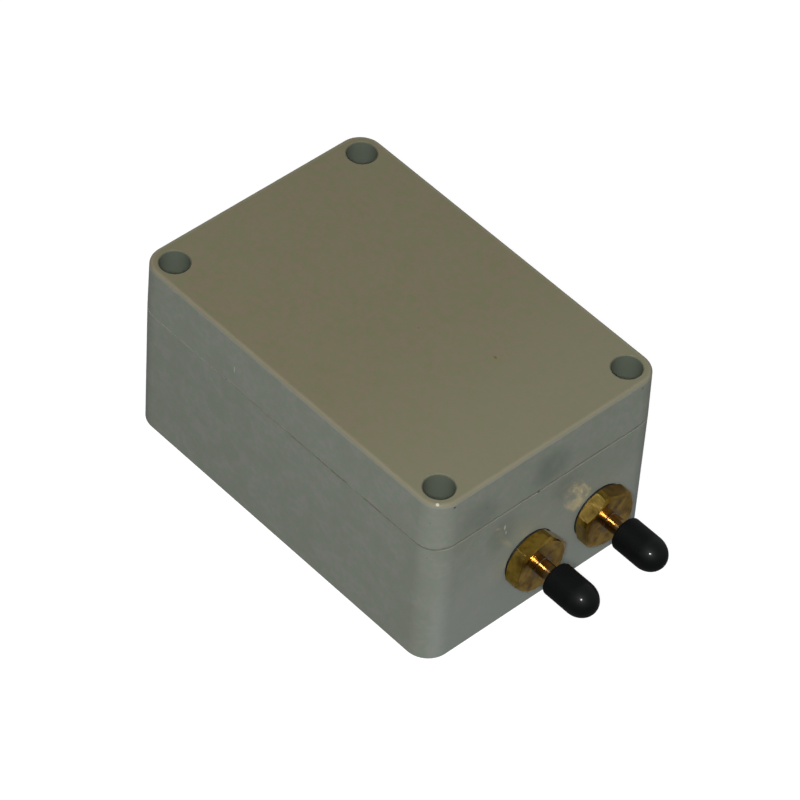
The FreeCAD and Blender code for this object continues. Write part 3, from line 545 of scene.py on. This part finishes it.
# Every finish, by name
FINISHES = {
    "case_plastic": case_plastic(),
    "brass": brass(),
    "black_vinyl": black_vinyl(),
    "circuit_board": circuit_board(),
    "seal_rubber": mottled("seal_rubber", (24, 24, 25), (32, 32, 33), 0.7),
    "black_rubber": mottled("black_rubber", (14, 14, 15), (20, 20, 21), 0.6, Specular_IOR_Level=0.25),
    "zinc_steel": mottled("zinc_steel", (168, 170, 172), (190, 191, 190), 0.32,
                          grain=3.0, depth=0.006, Metallic=1.0),
    "hose_silicone": mottled("hose_silicone", (196, 194, 184), (208, 206, 198), 0.4),
    "switch_black": mottled("switch_black", (26, 27, 29), (34, 35, 37), 0.45),
    "nylon_white": mottled("nylon_white", (206, 204, 196), (220, 218, 211), 0.45),
    "terminal_green": mottled("terminal_green", (34, 118, 72), (40, 130, 80), 0.42),
    "relay_blue": mottled("relay_blue", (30, 74, 150), (36, 82, 160), 0.35),
    "trimmer_blue": mottled("trimmer_blue", (24, 88, 170), (30, 96, 180), 0.4),
    "rotor_white": mottled("rotor_white", (214, 212, 204), (226, 224, 216), 0.45, grain=2.0),
    "chip_black": chip_black(),
    "voltage_regulator": regulator(),
    "reservoir_capacitor": capacitor_sleeve("reservoir_capacitor"),
    "timing_capacitor": capacitor_sleeve("timing_capacitor"),
    "resistor_body": leaded("resistor_body", "resistors", RESISTOR_REACH,
                            (206, 182, 136), (216, 194, 150), RESISTOR_BANDS),
    "diode_body": leaded("diode_body", "rectifier_diodes", DIODE_REACH,
                         (26, 26, 28), (34, 34, 36), DIODE_BANDS),
    "button_red": mottled("button_red", (176, 30, 26), (190, 38, 32), 0.38, grain=2.0),
    "lamp_red": mottled("lamp_red", (190, 24, 22), (214, 40, 34), 0.15, grain=2.0),
}

# The CAD nodes that stay as they are, by finish
CARRIED_OVER = {
    "case_plastic": ("base_housing", "lid"),
    "seal_rubber": ("lid_gasket",),
    "black_rubber": ("cable_grommet",),
    "brass": ("threaded_inserts",),
    "zinc_steel": ("nipple_plain_washers",),
    "hose_silicone": ("air_hoses",),
    "switch_black": ("microswitch_left", "microswitch_right", "test_button_housing", "chip_socket"),
    "nylon_white": ("air_switch_left", "air_switch_right", "screw_retainers"),
    "circuit_board": ("circuit_board",),
    "terminal_green": ("terminal_block",),
    "relay_blue": ("output_relay",),
    "trimmer_blue": ("open_delay_trimmer", "close_delay_trimmer"),
    "voltage_regulator": ("voltage_regulator",),
}

# Carried-over nodes whose edges are softened, and by how many millimetres
SOFTENED = {
    "output_relay": 0.6,
    "microswitch_left": 0.25,
    "microswitch_right": 0.25,
    "test_button_housing": 0.35,
    "chip_socket": 0.15,
    "terminal_block": 0.25,
    "open_delay_trimmer": 0.3,
    "close_delay_trimmer": 0.3,
    "voltage_regulator": 0.15,
    "air_switch_left": 0.35,
    "air_switch_right": 0.35,
}


def dress_nodes():
    """Give every carried-over CAD node its finish, and soften the edges of the moulded ones."""
    for finish, nodes in CARRIED_OVER.items():
        for node in nodes:
            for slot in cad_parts[node].material_slots:
                slot.material = FINISHES[finish]
    for node, width in SOFTENED.items():
        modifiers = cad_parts[node].modifiers
        modifiers.new("weld", "WELD").merge_threshold = 0.001 * MM
        bevel = modifiers.new("soft_edges", "BEVEL")
        bevel.width = width * MM
        bevel.segments = 3
        bevel.limit_method = "ANGLE"
        bevel.angle_limit = math.radians(50)
        modifiers.new("even_shading", "WEIGHTED_NORMAL").weight = 80


# Modelling by hand: a primitive is added, shaped in edit mode and finished with modifiers


def begin(obj=None):
    """Let go of everything, then take hold of one object."""
    bpy.ops.object.select_all(action="DESELECT")
    if obj:
        obj.select_set(True)
        bpy.context.view_layer.objects.active = obj


def settle(name):
    """Name the new object and put its place and turn into its mesh."""
    obj = bpy.context.object
    obj.name = name
    obj.data.name = name
    bpy.ops.object.transform_apply(location=True, rotation=True, scale=True)
    return obj


def pick_faces(obj, wanted):
    """Start shaping the faces for which wanted(face) holds."""
    begin(obj)
    bpy.ops.object.mode_set(mode="EDIT")
    bpy.ops.mesh.select_mode(type="FACE")
    bpy.ops.mesh.select_all(action="DESELECT")
    mesh = bmesh.from_edit_mesh(obj.data)
    for face in mesh.faces:
        face.select_set(wanted(face))
    bmesh.update_edit_mesh(obj.data)


def pick_end(obj, axis, limit):
    """Start shaping the flat faces that look along the axis and lie beyond the limit, in millimetres."""
    pick_faces(obj, lambda face: face.normal.dot(axis) > 0.99
               and face.calc_center_median().dot(axis) > limit * MM)


def extrude(step):
    """Draw the picked faces out by a step in millimetres."""
    bpy.ops.mesh.extrude_region_move(TRANSFORM_OT_translate={"value": step * MM})


def shaped():
    """Leave edit mode with a closed skin that faces outward."""
    bpy.ops.mesh.select_all(action="SELECT")
    bpy.ops.mesh.remove_doubles(threshold=0.0005 * MM)
    bpy.ops.mesh.normals_make_consistent(inside=False)
    bpy.ops.object.mode_set(mode="OBJECT")


def draw_out(centre, axis, sections):
    """Extrude the selected round end through (distance, radius) sections; radius 0 closes it."""
    for (reach, radius), (next_reach, next_radius) in zip(sections, sections[1:]):
        extrude(axis * (next_reach - reach))
        if next_radius == 0:
            bpy.ops.mesh.merge(type="CENTER")
            return
        size = next_radius / radius
        across = [1 if share > 0.5 else size for share in axis]
        pivot = (centre + axis * next_reach) * MM
        bpy.ops.transform.resize(value=across, center_override=pivot)


def turned(name, centre, axis, sections, vertices=96, ring=False):
    """A round piece, drawn out from a circle; a ring ends where it began."""
    begin()
    reach, radius = sections[0]
    bpy.ops.mesh.primitive_circle_add(
        vertices=vertices,
        radius=radius * MM,
        fill_type="NOTHING" if ring else "NGON",
        location=(centre + axis * reach) * MM,
        rotation=Z.rotation_difference(axis).to_euler(),
    )
    obj = settle(name)
    bpy.ops.object.mode_set(mode="EDIT")
    bpy.ops.mesh.select_mode(type="VERT")
    bpy.ops.mesh.select_all(action="SELECT")
    draw_out(centre, axis, sections)
    shaped()
    return obj


def apply_modifier(obj, kind, **settings):
    """Add one modifier to the object and apply it."""
    begin(obj)
    modifier = obj.modifiers.new(kind.lower(), kind)
    for name, setting in settings.items():
        setattr(modifier, name, setting)
    bpy.ops.object.modifier_apply(modifier=modifier.name)


def joined(name, objects):
    """Several made objects as one."""
    begin(objects[0])
    for obj in objects:
        obj.select_set(True)
    bpy.ops.object.join()
    objects[0].name = name
    objects[0].data.name = name
    return objects[0]


def block(name, centre, size):
    """A plain block, to be shaped or to cut with."""
    begin()
    bpy.ops.mesh.primitive_cube_add(size=MM, location=centre * MM)
    bpy.context.object.scale = size
    return settle(name)


def cut(obj, *tools):
    """Take the tools' shapes away from the object."""
    for tool in tools:
        apply_modifier(obj, "BOOLEAN", operation="DIFFERENCE", object=tool, solver="EXACT")
        bpy.data.objects.remove(tool)


def soften(obj, width, segments=3, angle=40):
    """Round the object's edges that are sharper than the angle."""
    apply_modifier(obj, "BEVEL", width=width * MM, segments=segments, limit_method="ANGLE",
                   angle_limit=math.radians(angle))


def copied(name, master, places):
    """Copies of a piece made at the origin, each with its own mesh, one at every place."""
    copies = []
    for place in places:
        begin(master)
        bpy.ops.object.duplicate(linked=False)
        bpy.context.object.location = place * MM
        copies.append(settle(name))
    bpy.data.objects.remove(master)
    return joined(name, copies)


def hand_over(obj, finish, body, slot, *replaced, smooth=30):
    """Shade a finished piece, give it its finish and let it ride on its body for its CAD nodes."""
    begin(obj)
    bpy.ops.object.shade_smooth_by_angle(angle=math.radians(smooth))
    apply_modifier(obj, "WEIGHTED_NORMAL", weight=80, keep_sharp=True)
    obj.data.materials.clear()
    obj.data.materials.append(FINISHES[finish])
    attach(obj, body)
    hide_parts(*replaced)


def arc(centre, radius, start, end, steps, stretch=1.0):
    """Sections along an arc, by angles in degrees; stretch lengthens it along the axis."""
    sections = []
    for i in range(steps + 1):
        angle = math.radians(start + (end - start) * i / steps)
        reach = centre[0] + radius * stretch * math.cos(angle)
        sections.append((reach, centre[1] + radius * math.sin(angle)))
    return sections


# Fittings in the end wall


def fitting_centre(side):
    """Where a fitting's axis meets the end wall."""
    centre = middle(SIDES[side])
    return Vector((END_WALL, centre.y, centre.z))


def dust_cap(side):
    """Dipped vinyl cap: rounded lip, straight sleeve and a slightly drawn-out round nose."""
    node = f"dust_cap_{side}"
    mouth, end = (reach - END_WALL for reach in span(node, 0))
    low, high = span(node, 1)
    radius = (high - low) / 2
    nose = end - radius * CAP_NOSE
    inside = end - CAP_CROWN
    sections = [(inside, CAP_BORE), (mouth + 4, CAP_BORE), (mouth + 0.3, CAP_BORE)]
    sections += arc((mouth + 0.3, CAP_BORE + 0.3), 0.3, 270, 180, 3)[1:]
    sections += arc((mouth + CAP_LIP, radius - CAP_LIP), CAP_LIP, 180, 90, 7)
    sections += [((mouth + nose) / 2, radius)]
    sections += arc((nose, 0), radius, 90, 3, 22, CAP_NOSE)
    sections += [(end, 0)]
    cap = turned(f"{node}_dipped", fitting_centre(side), X, sections)
    hand_over(cap, "black_vinyl", f"cap_{side}", "vinyl_black", node)


# Nipples, in millimetres: hexagon's width, radii of its faces and corners, distances from the wall
HEXAGON = 17.0
HEXAGON_FACE = 8.2
HEXAGON_REAR = 8.4
HEXAGON_CORNER = 9.4
HEXAGON_END = 5.2
HEXAGON_TURN = {"left": 12.0, "right": 38.5}
CHAMFER_SLOPE = math.tan(math.radians(30))
SPIGOT_RADIUS = 2.5
BORE = 1.6
BORE_DEPTH = 6.0
SHANK_RADIUS = 4.0
SHANK_END = -13.0
NUT_BORE = SHANK_RADIUS + 0.1
THREAD_START = -5.0
THREAD_PITCH = 1.0
THREAD_DEPTH = 0.45
BARB_RADIUS = 2.5


def chamfered_hexagon(name, centre, start, end, faces, across, corner, turn=0.0, bore=0.0):
    """A hexagon along X with conical chamfers: a six-sided bar met by a turned gauge."""
    begin()
    length = end - start
    bpy.ops.mesh.primitive_cylinder_add(
        vertices=6,
        radius=across / 2 / math.cos(math.radians(30)) * MM,
        depth=length * MM,
        rotation=(0, math.radians(90), 0),
    )
    bar = settle(name)
    bar.rotation_euler.x = math.radians(turn)
    bar.location = (centre + X * (start + length / 2)) * MM
    bar = settle(name)
    rear, front = faces
    spare = 0.5
    sections = [(start - spare, rear), (start, rear), (start + (corner - rear) * CHAMFER_SLOPE, corner)]
    sections += [(end - (corner - front) * CHAMFER_SLOPE, corner), (end, front), (end + spare, front)]
    if bore:
        sections = [(start - spare, bore), *sections, (end + spare, bore), (start - spare, bore)]
    gauge = turned("gauge", centre, X, sections, vertices=144, ring=bool(bore))
    apply_modifier(bar, "BOOLEAN", operation="INTERSECT", object=gauge, solver="EXACT")
    bpy.data.objects.remove(gauge)
    soften(bar, 0.12, angle=20)
    return bar


def thread(start, end, radius, pitch=THREAD_PITCH, depth=THREAD_DEPTH):
    """Sections of a threaded length along its axis, from start to end."""
    sections = []
    turns = round(abs(start - end) / pitch)
    step = (end - start) / turns
    for i in range(turns):
        crest = start + i * step
        sections += [(crest, radius), (crest + 0.2 * step, radius)]
        sections += [(crest + 0.5 * step, radius - depth), (crest + 0.7 * step, radius - depth)]
    return sections


def nipple(side):
    """Brass bulkhead nipple: bored spigot, worn hexagon, threaded shank and inner barb."""
    node = SIDES[side]
    centre = fitting_centre(side)
    start = span("nipple_sealing_washers", 0)[1] - END_WALL
    barb_end, tip = (reach - END_WALL for reach in span(node, 0))
    body = chamfered_hexagon(f"{node}_turned", centre, start, HEXAGON_END,
                             (HEXAGON_REAR, HEXAGON_FACE), HEXAGON, HEXAGON_CORNER,
                             turn=HEXAGON_TURN[side])
    near_end = 0.01

    root = 0.3
    spigot = [(HEXAGON_END, HEXAGON_FACE), (HEXAGON_END, SPIGOT_RADIUS + root)]
    spigot += arc((HEXAGON_END + root, SPIGOT_RADIUS + root), root, 180, 270, 4)[1:]
    spigot += [(12, SPIGOT_RADIUS), (17, SPIGOT_RADIUS)]
    spigot += arc((tip - 0.5, SPIGOT_RADIUS - 0.5), 0.5, 90, 0, 4)
    spigot += [(tip, BORE), (tip - BORE_DEPTH, BORE), (tip - BORE_DEPTH - 0.5, 0)]
    pick_end(body, X, END_WALL + HEXAGON_END - near_end)
    draw_out(centre, X, spigot)
    shaped()

    shank = [(start, HEXAGON_REAR), (start, SHANK_RADIUS)]
    shank += thread(THREAD_START, SHANK_END, SHANK_RADIUS)
    shank += [(SHANK_END, BARB_RADIUS), (barb_end + 3.2, BARB_RADIUS), (barb_end + 3, BARB_RADIUS + 0.28)]
    shank += [(barb_end + 2.8, BARB_RADIUS + 0.26), (barb_end + 0.1, BARB_RADIUS - 0.35)]
    shank += [(barb_end, BARB_RADIUS - 0.45), (barb_end, BORE)]
    shank += [(barb_end + BORE_DEPTH, BORE), (barb_end + BORE_DEPTH + 0.5, 0)]
    pick_end(body, -X, -END_WALL - start - near_end)
    draw_out(centre, X, shank)
    shaped()
    hand_over(body, "brass", "case", "brass", node, smooth=22)


def sealing_washers():
    """A thin rubber ring between each hexagon and the wall, with a rounded rim."""
    node = "nipple_sealing_washers"
    low, high = span(node, 1)
    thickness = span(node, 0)[1] - END_WALL
    radius = (high - low - FITTING_PITCH) / 2
    half = thickness / 2
    sections = [(0, NUT_BORE), (0, radius - half)]
    sections += arc((half, radius - half), half, 180, 0, 8)[1:]
    sections += [(thickness, NUT_BORE), (0, NUT_BORE)]
    rings = [turned(f"washer_{side}", fitting_centre(side), X, sections, ring=True) for side in SIDES]
    washers = joined(f"{node}_cut", rings)
    hand_over(washers, "black_rubber", "case", "seal_rubber", node)


def lock_nuts():
    """A brass hexagon nut behind each washer, inside the wall."""
    node = "nipple_lock_nuts"
    start, end = (reach - END_WALL for reach in span(node, 0))
    low, high = span(node, 1)
    across = high - low - FITTING_PITCH
    nuts = []
    for side in SIDES:
        nut = chamfered_hexagon(f"lock_nut_{side}", fitting_centre(side), start, end,
                                (across / 2, across / 2), across, across * 0.56, bore=NUT_BORE)
        nuts.append(nut)
    hand_over(joined(f"{node}_cut", nuts), "brass", "case", "brass", node)


# Screws


def cross_recess(top, reach, width, depth):
    """The tools that cut a cross into a screw head."""
    centre = Z * (top - depth / 2 + 0.05)
    return (block("recess", centre, (reach, width, depth + 0.1)),
            block("recess", centre, (width, reach, depth + 0.1)))


def pan_screw(head_radius, head_height, shank_radius, length, pitch):
    """A pan-head screw with a cross recess, its head's underside at the origin."""
    sections = [(-length, shank_radius * 0.6), (-length + shank_radius * 0.4, shank_radius)]
    sections += thread(-length + shank_radius * 0.4, -pitch, shank_radius, pitch, pitch * 0.35)
    sections += [(-pitch * 0.5, shank_radius), (0, shank_radius), (0, head_radius - 0.15)]
    sections += [(0.15, head_radius)]
    crown = head_height * 0.55
    sections += arc((head_height - crown, head_radius - crown), crown, 90, 10, 6)
    sections += [(head_height, (head_radius - crown) * 0.5), (head_height, 0)]
    screw = turned("screw", Vector(), Z, sections, vertices=48)
    cut(screw, *cross_recess(head_height, head_radius * 1.2, head_radius * 0.24, head_height * 0.55))
    return screw


def disc_sections(radius, height):
    """Sections of a short round piece with broken edges."""
    return [(0, radius - 0.2), (0.2, radius), (height - 0.3, radius), (height, radius - 0.3), (height, 0)]


def corner_places(x, y, z):
    """Four places, in the corners of a rectangle about the middle of the case."""
    return [Vector((side_x * x, side_y * y, z)) for side_x in (-1, 1) for side_y in (-1, 1)]


def screws():
    """Lid screws, board screws and terminal clamp screws."""
    bottom, top = span("lid_screws", 2)
    head_height = 3.2
    seat = top - head_height
    screw = pan_screw(LID_SCREW_HEAD, head_height, shank_radius=2.0, length=seat - bottom, pitch=0.7)
    places = corner_places(SCREW_PLACE.x, SCREW_PLACE.y, seat)
    made = copied("lid_screws_turned", screw, places)
    hand_over(made, "zinc_steel", "lid", "zinc_steel", "lid_screws")

    bottom, top = span("board_screws", 2)
    head = 2.8
    length = BOARD_TOP - bottom
    screw = pan_screw(head, top - BOARD_TOP, shank_radius=1.5, length=length, pitch=0.5)
    centre = middle("board_screws")
    x, y = (span("board_screws", axis)[1] - head for axis in (0, 1))
    places = [place + X * centre.x for place in corner_places(x - centre.x, y, BOARD_TOP)]
    made = copied("board_screws_turned", screw, places)
    hand_over(made, "zinc_steel", "case", "zinc_steel", "board_screws")

    bottom, top = span("terminal_screws", 2)
    height = top - bottom
    low, high = span("terminal_screws", 1)
    radius = 1.9
    clamp = turned("clamp_screw", Vector(), Z, disc_sections(radius, height), vertices=48)
    cut(clamp, block("slot", Z * height, (0.75, 2 * radius + 1, 1.8)))
    centre = middle("terminal_screws")
    count = 5
    pitch = (high - low - 2 * radius) / (count - 1)
    places = [Vector((centre.x, low + radius + i * pitch, bottom)) for i in range(count)]
    made = copied("terminal_screws_turned", clamp, places)
    hand_over(made, "zinc_steel", "case", "zinc_steel", "terminal_screws")


# Parts on the board


def upright(node, sections):
    """A round piece standing on a node's place, drawn from its lowest point."""
    centre = middle(node)
    base = Vector((centre.x, centre.y, span(node, 2)[0]))
    return turned(f"{node}_formed", base, Z, sections, vertices=64)


def capacitor(node):
    """A can in a shrunk sleeve: rolled bead near the base, rounded shoulder, sunk top."""
    bottom, top = span(node, 2)
    height = top - bottom
    radius = half_width(node)
    sections = [(0.0, radius - 0.7), (0.15, radius - 0.25), (0.5, radius), (1.4, radius)]
    sections += arc((2.1, radius + 0.35), 0.7, 225, 315, 6)
    sections += [(2.9, radius)]
    sections += arc((height - 0.6, radius - 0.6), 0.6, 90, 0, 6)
    sections += [(height, radius - 0.9), (height - 0.25, radius - 1.0), (height - 0.3, 0)]
    hand_over(upright(node, sections), node, "case", "capacitor_sleeve", node)


def leaded_part(name, node, body, lead_radius, axis_height):
    """Bodies along Y whose leads bend down into the board."""
    low, high = span(node, 1)
    reach = (high - low) / 2 - lead_radius
    bend = 0.6
    straight = reach - bend
    drop = axis_height - bend - BOARD_TOP
    ends = [(-straight, lead_radius), *body, (straight, lead_radius)]
    part = turned(name, Vector(), Y, ends, vertices=32)
    for side in (-1, 1):
        pick_end(part, Y * side, straight * 0.99)
        pivot = Vector((0, side * straight, -bend)) * MM
        bpy.ops.mesh.spin(steps=5, angle=-side * math.pi / 2, center=pivot, axis=(1, 0, 0))
        extrude(-Z * drop)
        shaped()
    return part


def resistors_and_diodes():
    """Three dumb-bell shaped resistors and two cylindrical diodes."""
    low, high = span("resistors", 0)
    radius = 1.15
    lead = 0.3
    shoulder = 0.7
    axis_height = span("resistors", 2)[1] - radius
    body = [(-RESISTOR_REACH, lead)]
    body += arc((shoulder - RESISTOR_REACH, radius - shoulder), shoulder, 180, 90, 5)
    body += [(-2.0, radius), (-1.5, radius - 0.18)]
    body += [(-reach, size) for reach, size in reversed(body)]
    resistor = leaded_part("resistor", "resistors", body, lead, axis_height)
    centre = middle("resistors")
    count = 3
    pitch = (high - low - 2 * radius) / (count - 1)
    places = [Vector((low + radius + i * pitch, centre.y, axis_height)) for i in range(count)]
    made = copied("resistors_formed", resistor, places)
    hand_over(made, "resistor_body", "case", "resistor_body", "resistors")

    low, high = span("rectifier_diodes", 0)
    radius = 1.35
    lead = 0.35
    rounding = 0.2
    axis_height = span("rectifier_diodes", 2)[1] - radius
    body = [(-DIODE_REACH, lead), (-DIODE_REACH, radius - rounding), (rounding - DIODE_REACH, radius)]
    body += [(-reach, size) for reach, size in reversed(body)]
    diode = leaded_part("diode", "rectifier_diodes", body, lead, axis_height)
    centre = middle("rectifier_diodes")
    places = [Vector((place, centre.y, axis_height)) for place in (low + radius, high - radius)]
    made = copied("rectifier_diodes_formed", diode, places)
    hand_over(made, "diode_body", "case", "switch_black", "rectifier_diodes")


def timer_chip():
    """Moulded chip body with tapered sides and an end notch, on fourteen bent legs."""
    node = "timer_chip"
    centre = middle(node)
    (left, right), (bottom, top) = span(node, 0), span(node, 2)
    level = bottom + 1.9
    underside = bottom + 0.3
    body = block("chip_body", Vector((centre.x, centre.y, (underside + top) / 2)),
                 (right - left, CHIP_BODY, top - underside))
    for side in (-1, 1):
        pick_faces(body, lambda face: face.normal.z * side > 0.99)
        bpy.ops.transform.resize(value=(0.985, 0.93, 1), center_override=centre * MM)
        shaped()
    notch_floor = Vector((left, centre.y, top - 0.8))
    cut(body, turned("notch", notch_floor, Z, [(0, 0.9), (2, 0.9), (2, 0)], vertices=32))
    soften(body, 0.1, segments=2, angle=30)

    low, high = span(node, 1)
    reach = (high - low) / 2
    root = CHIP_BODY / 2 - 0.2
    thickness = 0.25
    shoulder = 0.5
    drop = level - thickness / 2 - shoulder - bottom
    pitch = 2.54
    legs = []
    for side in (-1, 1):
        leg = block("leg", Y * side * (reach + root) / 2, (1.3, reach - root, thickness))
        pick_faces(leg, lambda face: face.normal.z < -0.99)
        extrude(-Z * shoulder)
        bpy.ops.transform.resize(value=(0.4, 0.5, 1), center_override=Y * side * reach * MM)
        extrude(-Z * drop)
        shaped()
        places = [Vector((centre.x + (i - 3) * pitch, centre.y, level)) for i in range(7)]
        legs.append(copied(f"legs_{side}", leg, places))
    chip = joined("timer_chip_moulded", [body, *legs])
    hand_over(chip, "chip_black", "case", "switch_black", node)


def rotor(node):
    """A trimmer's turning disc with a screwdriver slot and a pointer notch."""
    bottom, top = span(node, 2)
    centre = middle(node)
    radius = half_width(node)
    disc = upright(node, disc_sections(radius, top - bottom))
    surface = Vector((centre.x, centre.y, top))
    cut(disc, block("slot", surface, (0.9, 2 * radius - 1.2, 1.8)),
        block("pointer", surface + Y * (radius - 0.5), (1.6, 0.5, 0.8)))
    hand_over(disc, "rotor_white", node.replace("_delay", ""), "nylon_white", node)


def plunger_and_light():
    """The test button's round plunger and the domed status light."""
    node = "test_button_plunger"
    bottom, top = span(node, 2)
    radius = half_width(node)
    height = top - bottom
    sections = [(0, radius - 0.15), (0.15, radius)]
    sections += arc((height - 0.5, radius - 0.5), 0.5, 90, 15, 5)
    sections += [(height, radius - 0.9), (height - 0.12, radius * 0.4), (height - 0.15, 0)]
    hand_over(upright(node, sections), "button_red", "button", "button_red", node)

    node = "status_light"
    bottom, top = span(node, 2)
    radius = half_width(node)
    height = top - bottom
    sections = [(0, radius - 0.1), (0.1, radius), (0.9, radius), (1.0, radius - 0.1)]
    sections += arc((height - radius + 0.1, 0), radius - 0.1, 90, 4, 12) + [(height, 0)]
    hand_over(upright(node, sections), "lamp_red", "case", "lamp_red", node)


# Stage: floor and surround, one lamp beside the camera, a room brighter at the back


def camera_frame():
    """The camera's place, in millimetres, and its right, up and backward directions."""
    azimuth = math.radians(AZIMUTH)
    elevation = math.radians(ELEVATION)
    level = Vector((math.cos(azimuth), math.sin(azimuth), 0))
    outward = Vector((math.sin(azimuth), -math.cos(azimuth), 0))
    back = outward * math.cos(elevation) + Z * math.sin(elevation)
    turn = Matrix.Rotation(math.radians(ROLL), 3, back)
    right = turn @ level
    up = turn @ back.cross(level)
    place = Z * AIM_HEIGHT + right * AIM_RIGHT - up * AIM_DOWN + back * DISTANCE
    return place, right, up, back


def add_camera():
    """The camera of the photograph."""
    place, right, up, back = camera_frame()
    data = bpy.data.cameras.new("camera")
    data.lens = FOCAL_LENGTH
    data.sensor_width = SENSOR_WIDTH
    data.sensor_fit = "HORIZONTAL"
    data.clip_end = 100
    camera = bpy.data.objects.new("camera", data)
    turn = Matrix((right, up, back)).transposed().to_4x4()
    camera.matrix_world = Matrix.Translation(place * MM) @ turn
    bpy.context.scene.collection.objects.link(camera)
    bpy.context.scene.camera = camera


def add_lamp():
    """A square lamp just left of the camera and below it, aimed at the case."""
    place, right, up, back = camera_frame()
    data = bpy.data.lights.new("lamp", "AREA")
    data.size = LAMP_SIZE
    data.energy = LAMP_POWER
    lamp = bpy.data.objects.new("lamp", data)
    lamp.location = (place - right * LAMP_LEFT - up * LAMP_DOWN) * MM
    lamp.rotation_euler = back.to_track_quat("Z", "Y").to_euler()
    bpy.context.scene.collection.objects.link(lamp)


def add_room():
    """Soft light from all round: stronger from behind, weaker from below."""
    world = bpy.data.worlds.new("room")
    world.use_nodes = True
    tree = world.node_tree
    direction = add_node(tree, "ShaderNodeTexCoord", "Generated")
    x, y, z = (add_node(tree, "ShaderNodeSeparateXYZ", name, {0: direction}) for name in "XYZ")
    behind = ((y - x) * (math.sqrt(0.5) / 2) + 0.5).math("MAXIMUM", 0.0)
    above = (z * 2.0 + 0.5).math("MAXIMUM", 0.0).math("MINIMUM", 1.0)
    strength = behind * (ROOM_BACK - ROOM_FRONT) + ROOM_FRONT
    strength = strength * (above * (1 - ROOM_BELOW) + ROOM_BELOW)
    background = tree.nodes["Background"]
    feed(background.inputs["Color"], (1, 1, 1, 1))
    feed(background.inputs["Strength"], strength)
    bpy.context.scene.world = world


def backdrop(obj, colour, glow):
    """Give a pale surface behind the object a finish that only the camera sees."""
    finish = Finish(
        obj.name,
        Base_Color=colour,
        Roughness=0.9,
        Specular_IOR_Level=0.0,
        Emission_Color=(1, 1, 1, 1),
        Emission_Strength=glow,
    )
    obj.data.materials.append(finish.material)
    obj.visible_diffuse = False
    obj.visible_glossy = False
    obj.visible_shadow = False


def add_stage():
    """A wide floor just under the part and a dome over it, both for the camera only."""
    begin()
    bpy.ops.mesh.primitive_circle_add(
        vertices=96,
        radius=STAGE_RADIUS,
        fill_type="NGON",
        location=(0, 0, -FLOOR_GAP),
    )
    backdrop(settle("floor"), shade(150, 150, 150), 0.78)
    sections = arc((0, 0), STAGE_RADIUS / MM, 90, 3, 24)
    dome = turned("surround", -Z, Z, sections + [(STAGE_RADIUS / MM, 0)])
    begin(dome)
    bpy.ops.object.mode_set(mode="EDIT")
    bpy.ops.mesh.select_all(action="SELECT")
    bpy.ops.mesh.flip_normals()
    bpy.ops.object.mode_set(mode="OBJECT")
    backdrop(dome, shade(0, 0, 0), 1.0)


# The whole part, then its stage
dress_nodes()
sealing_washers()
for side in SIDES:
    nipple(side)
    dust_cap(side)
lock_nuts()
screws()
for node in ("reservoir_capacitor", "timing_capacitor"):
    capacitor(node)
resistors_and_diodes()
timer_chip()
for node in ("open_delay_rotor", "close_delay_rotor"):
    rotor(node)
plunger_and_light()
add_stage()
add_room()
add_lamp()
add_camera()
bpy.context.scene.view_settings.view_transform = "Standard"
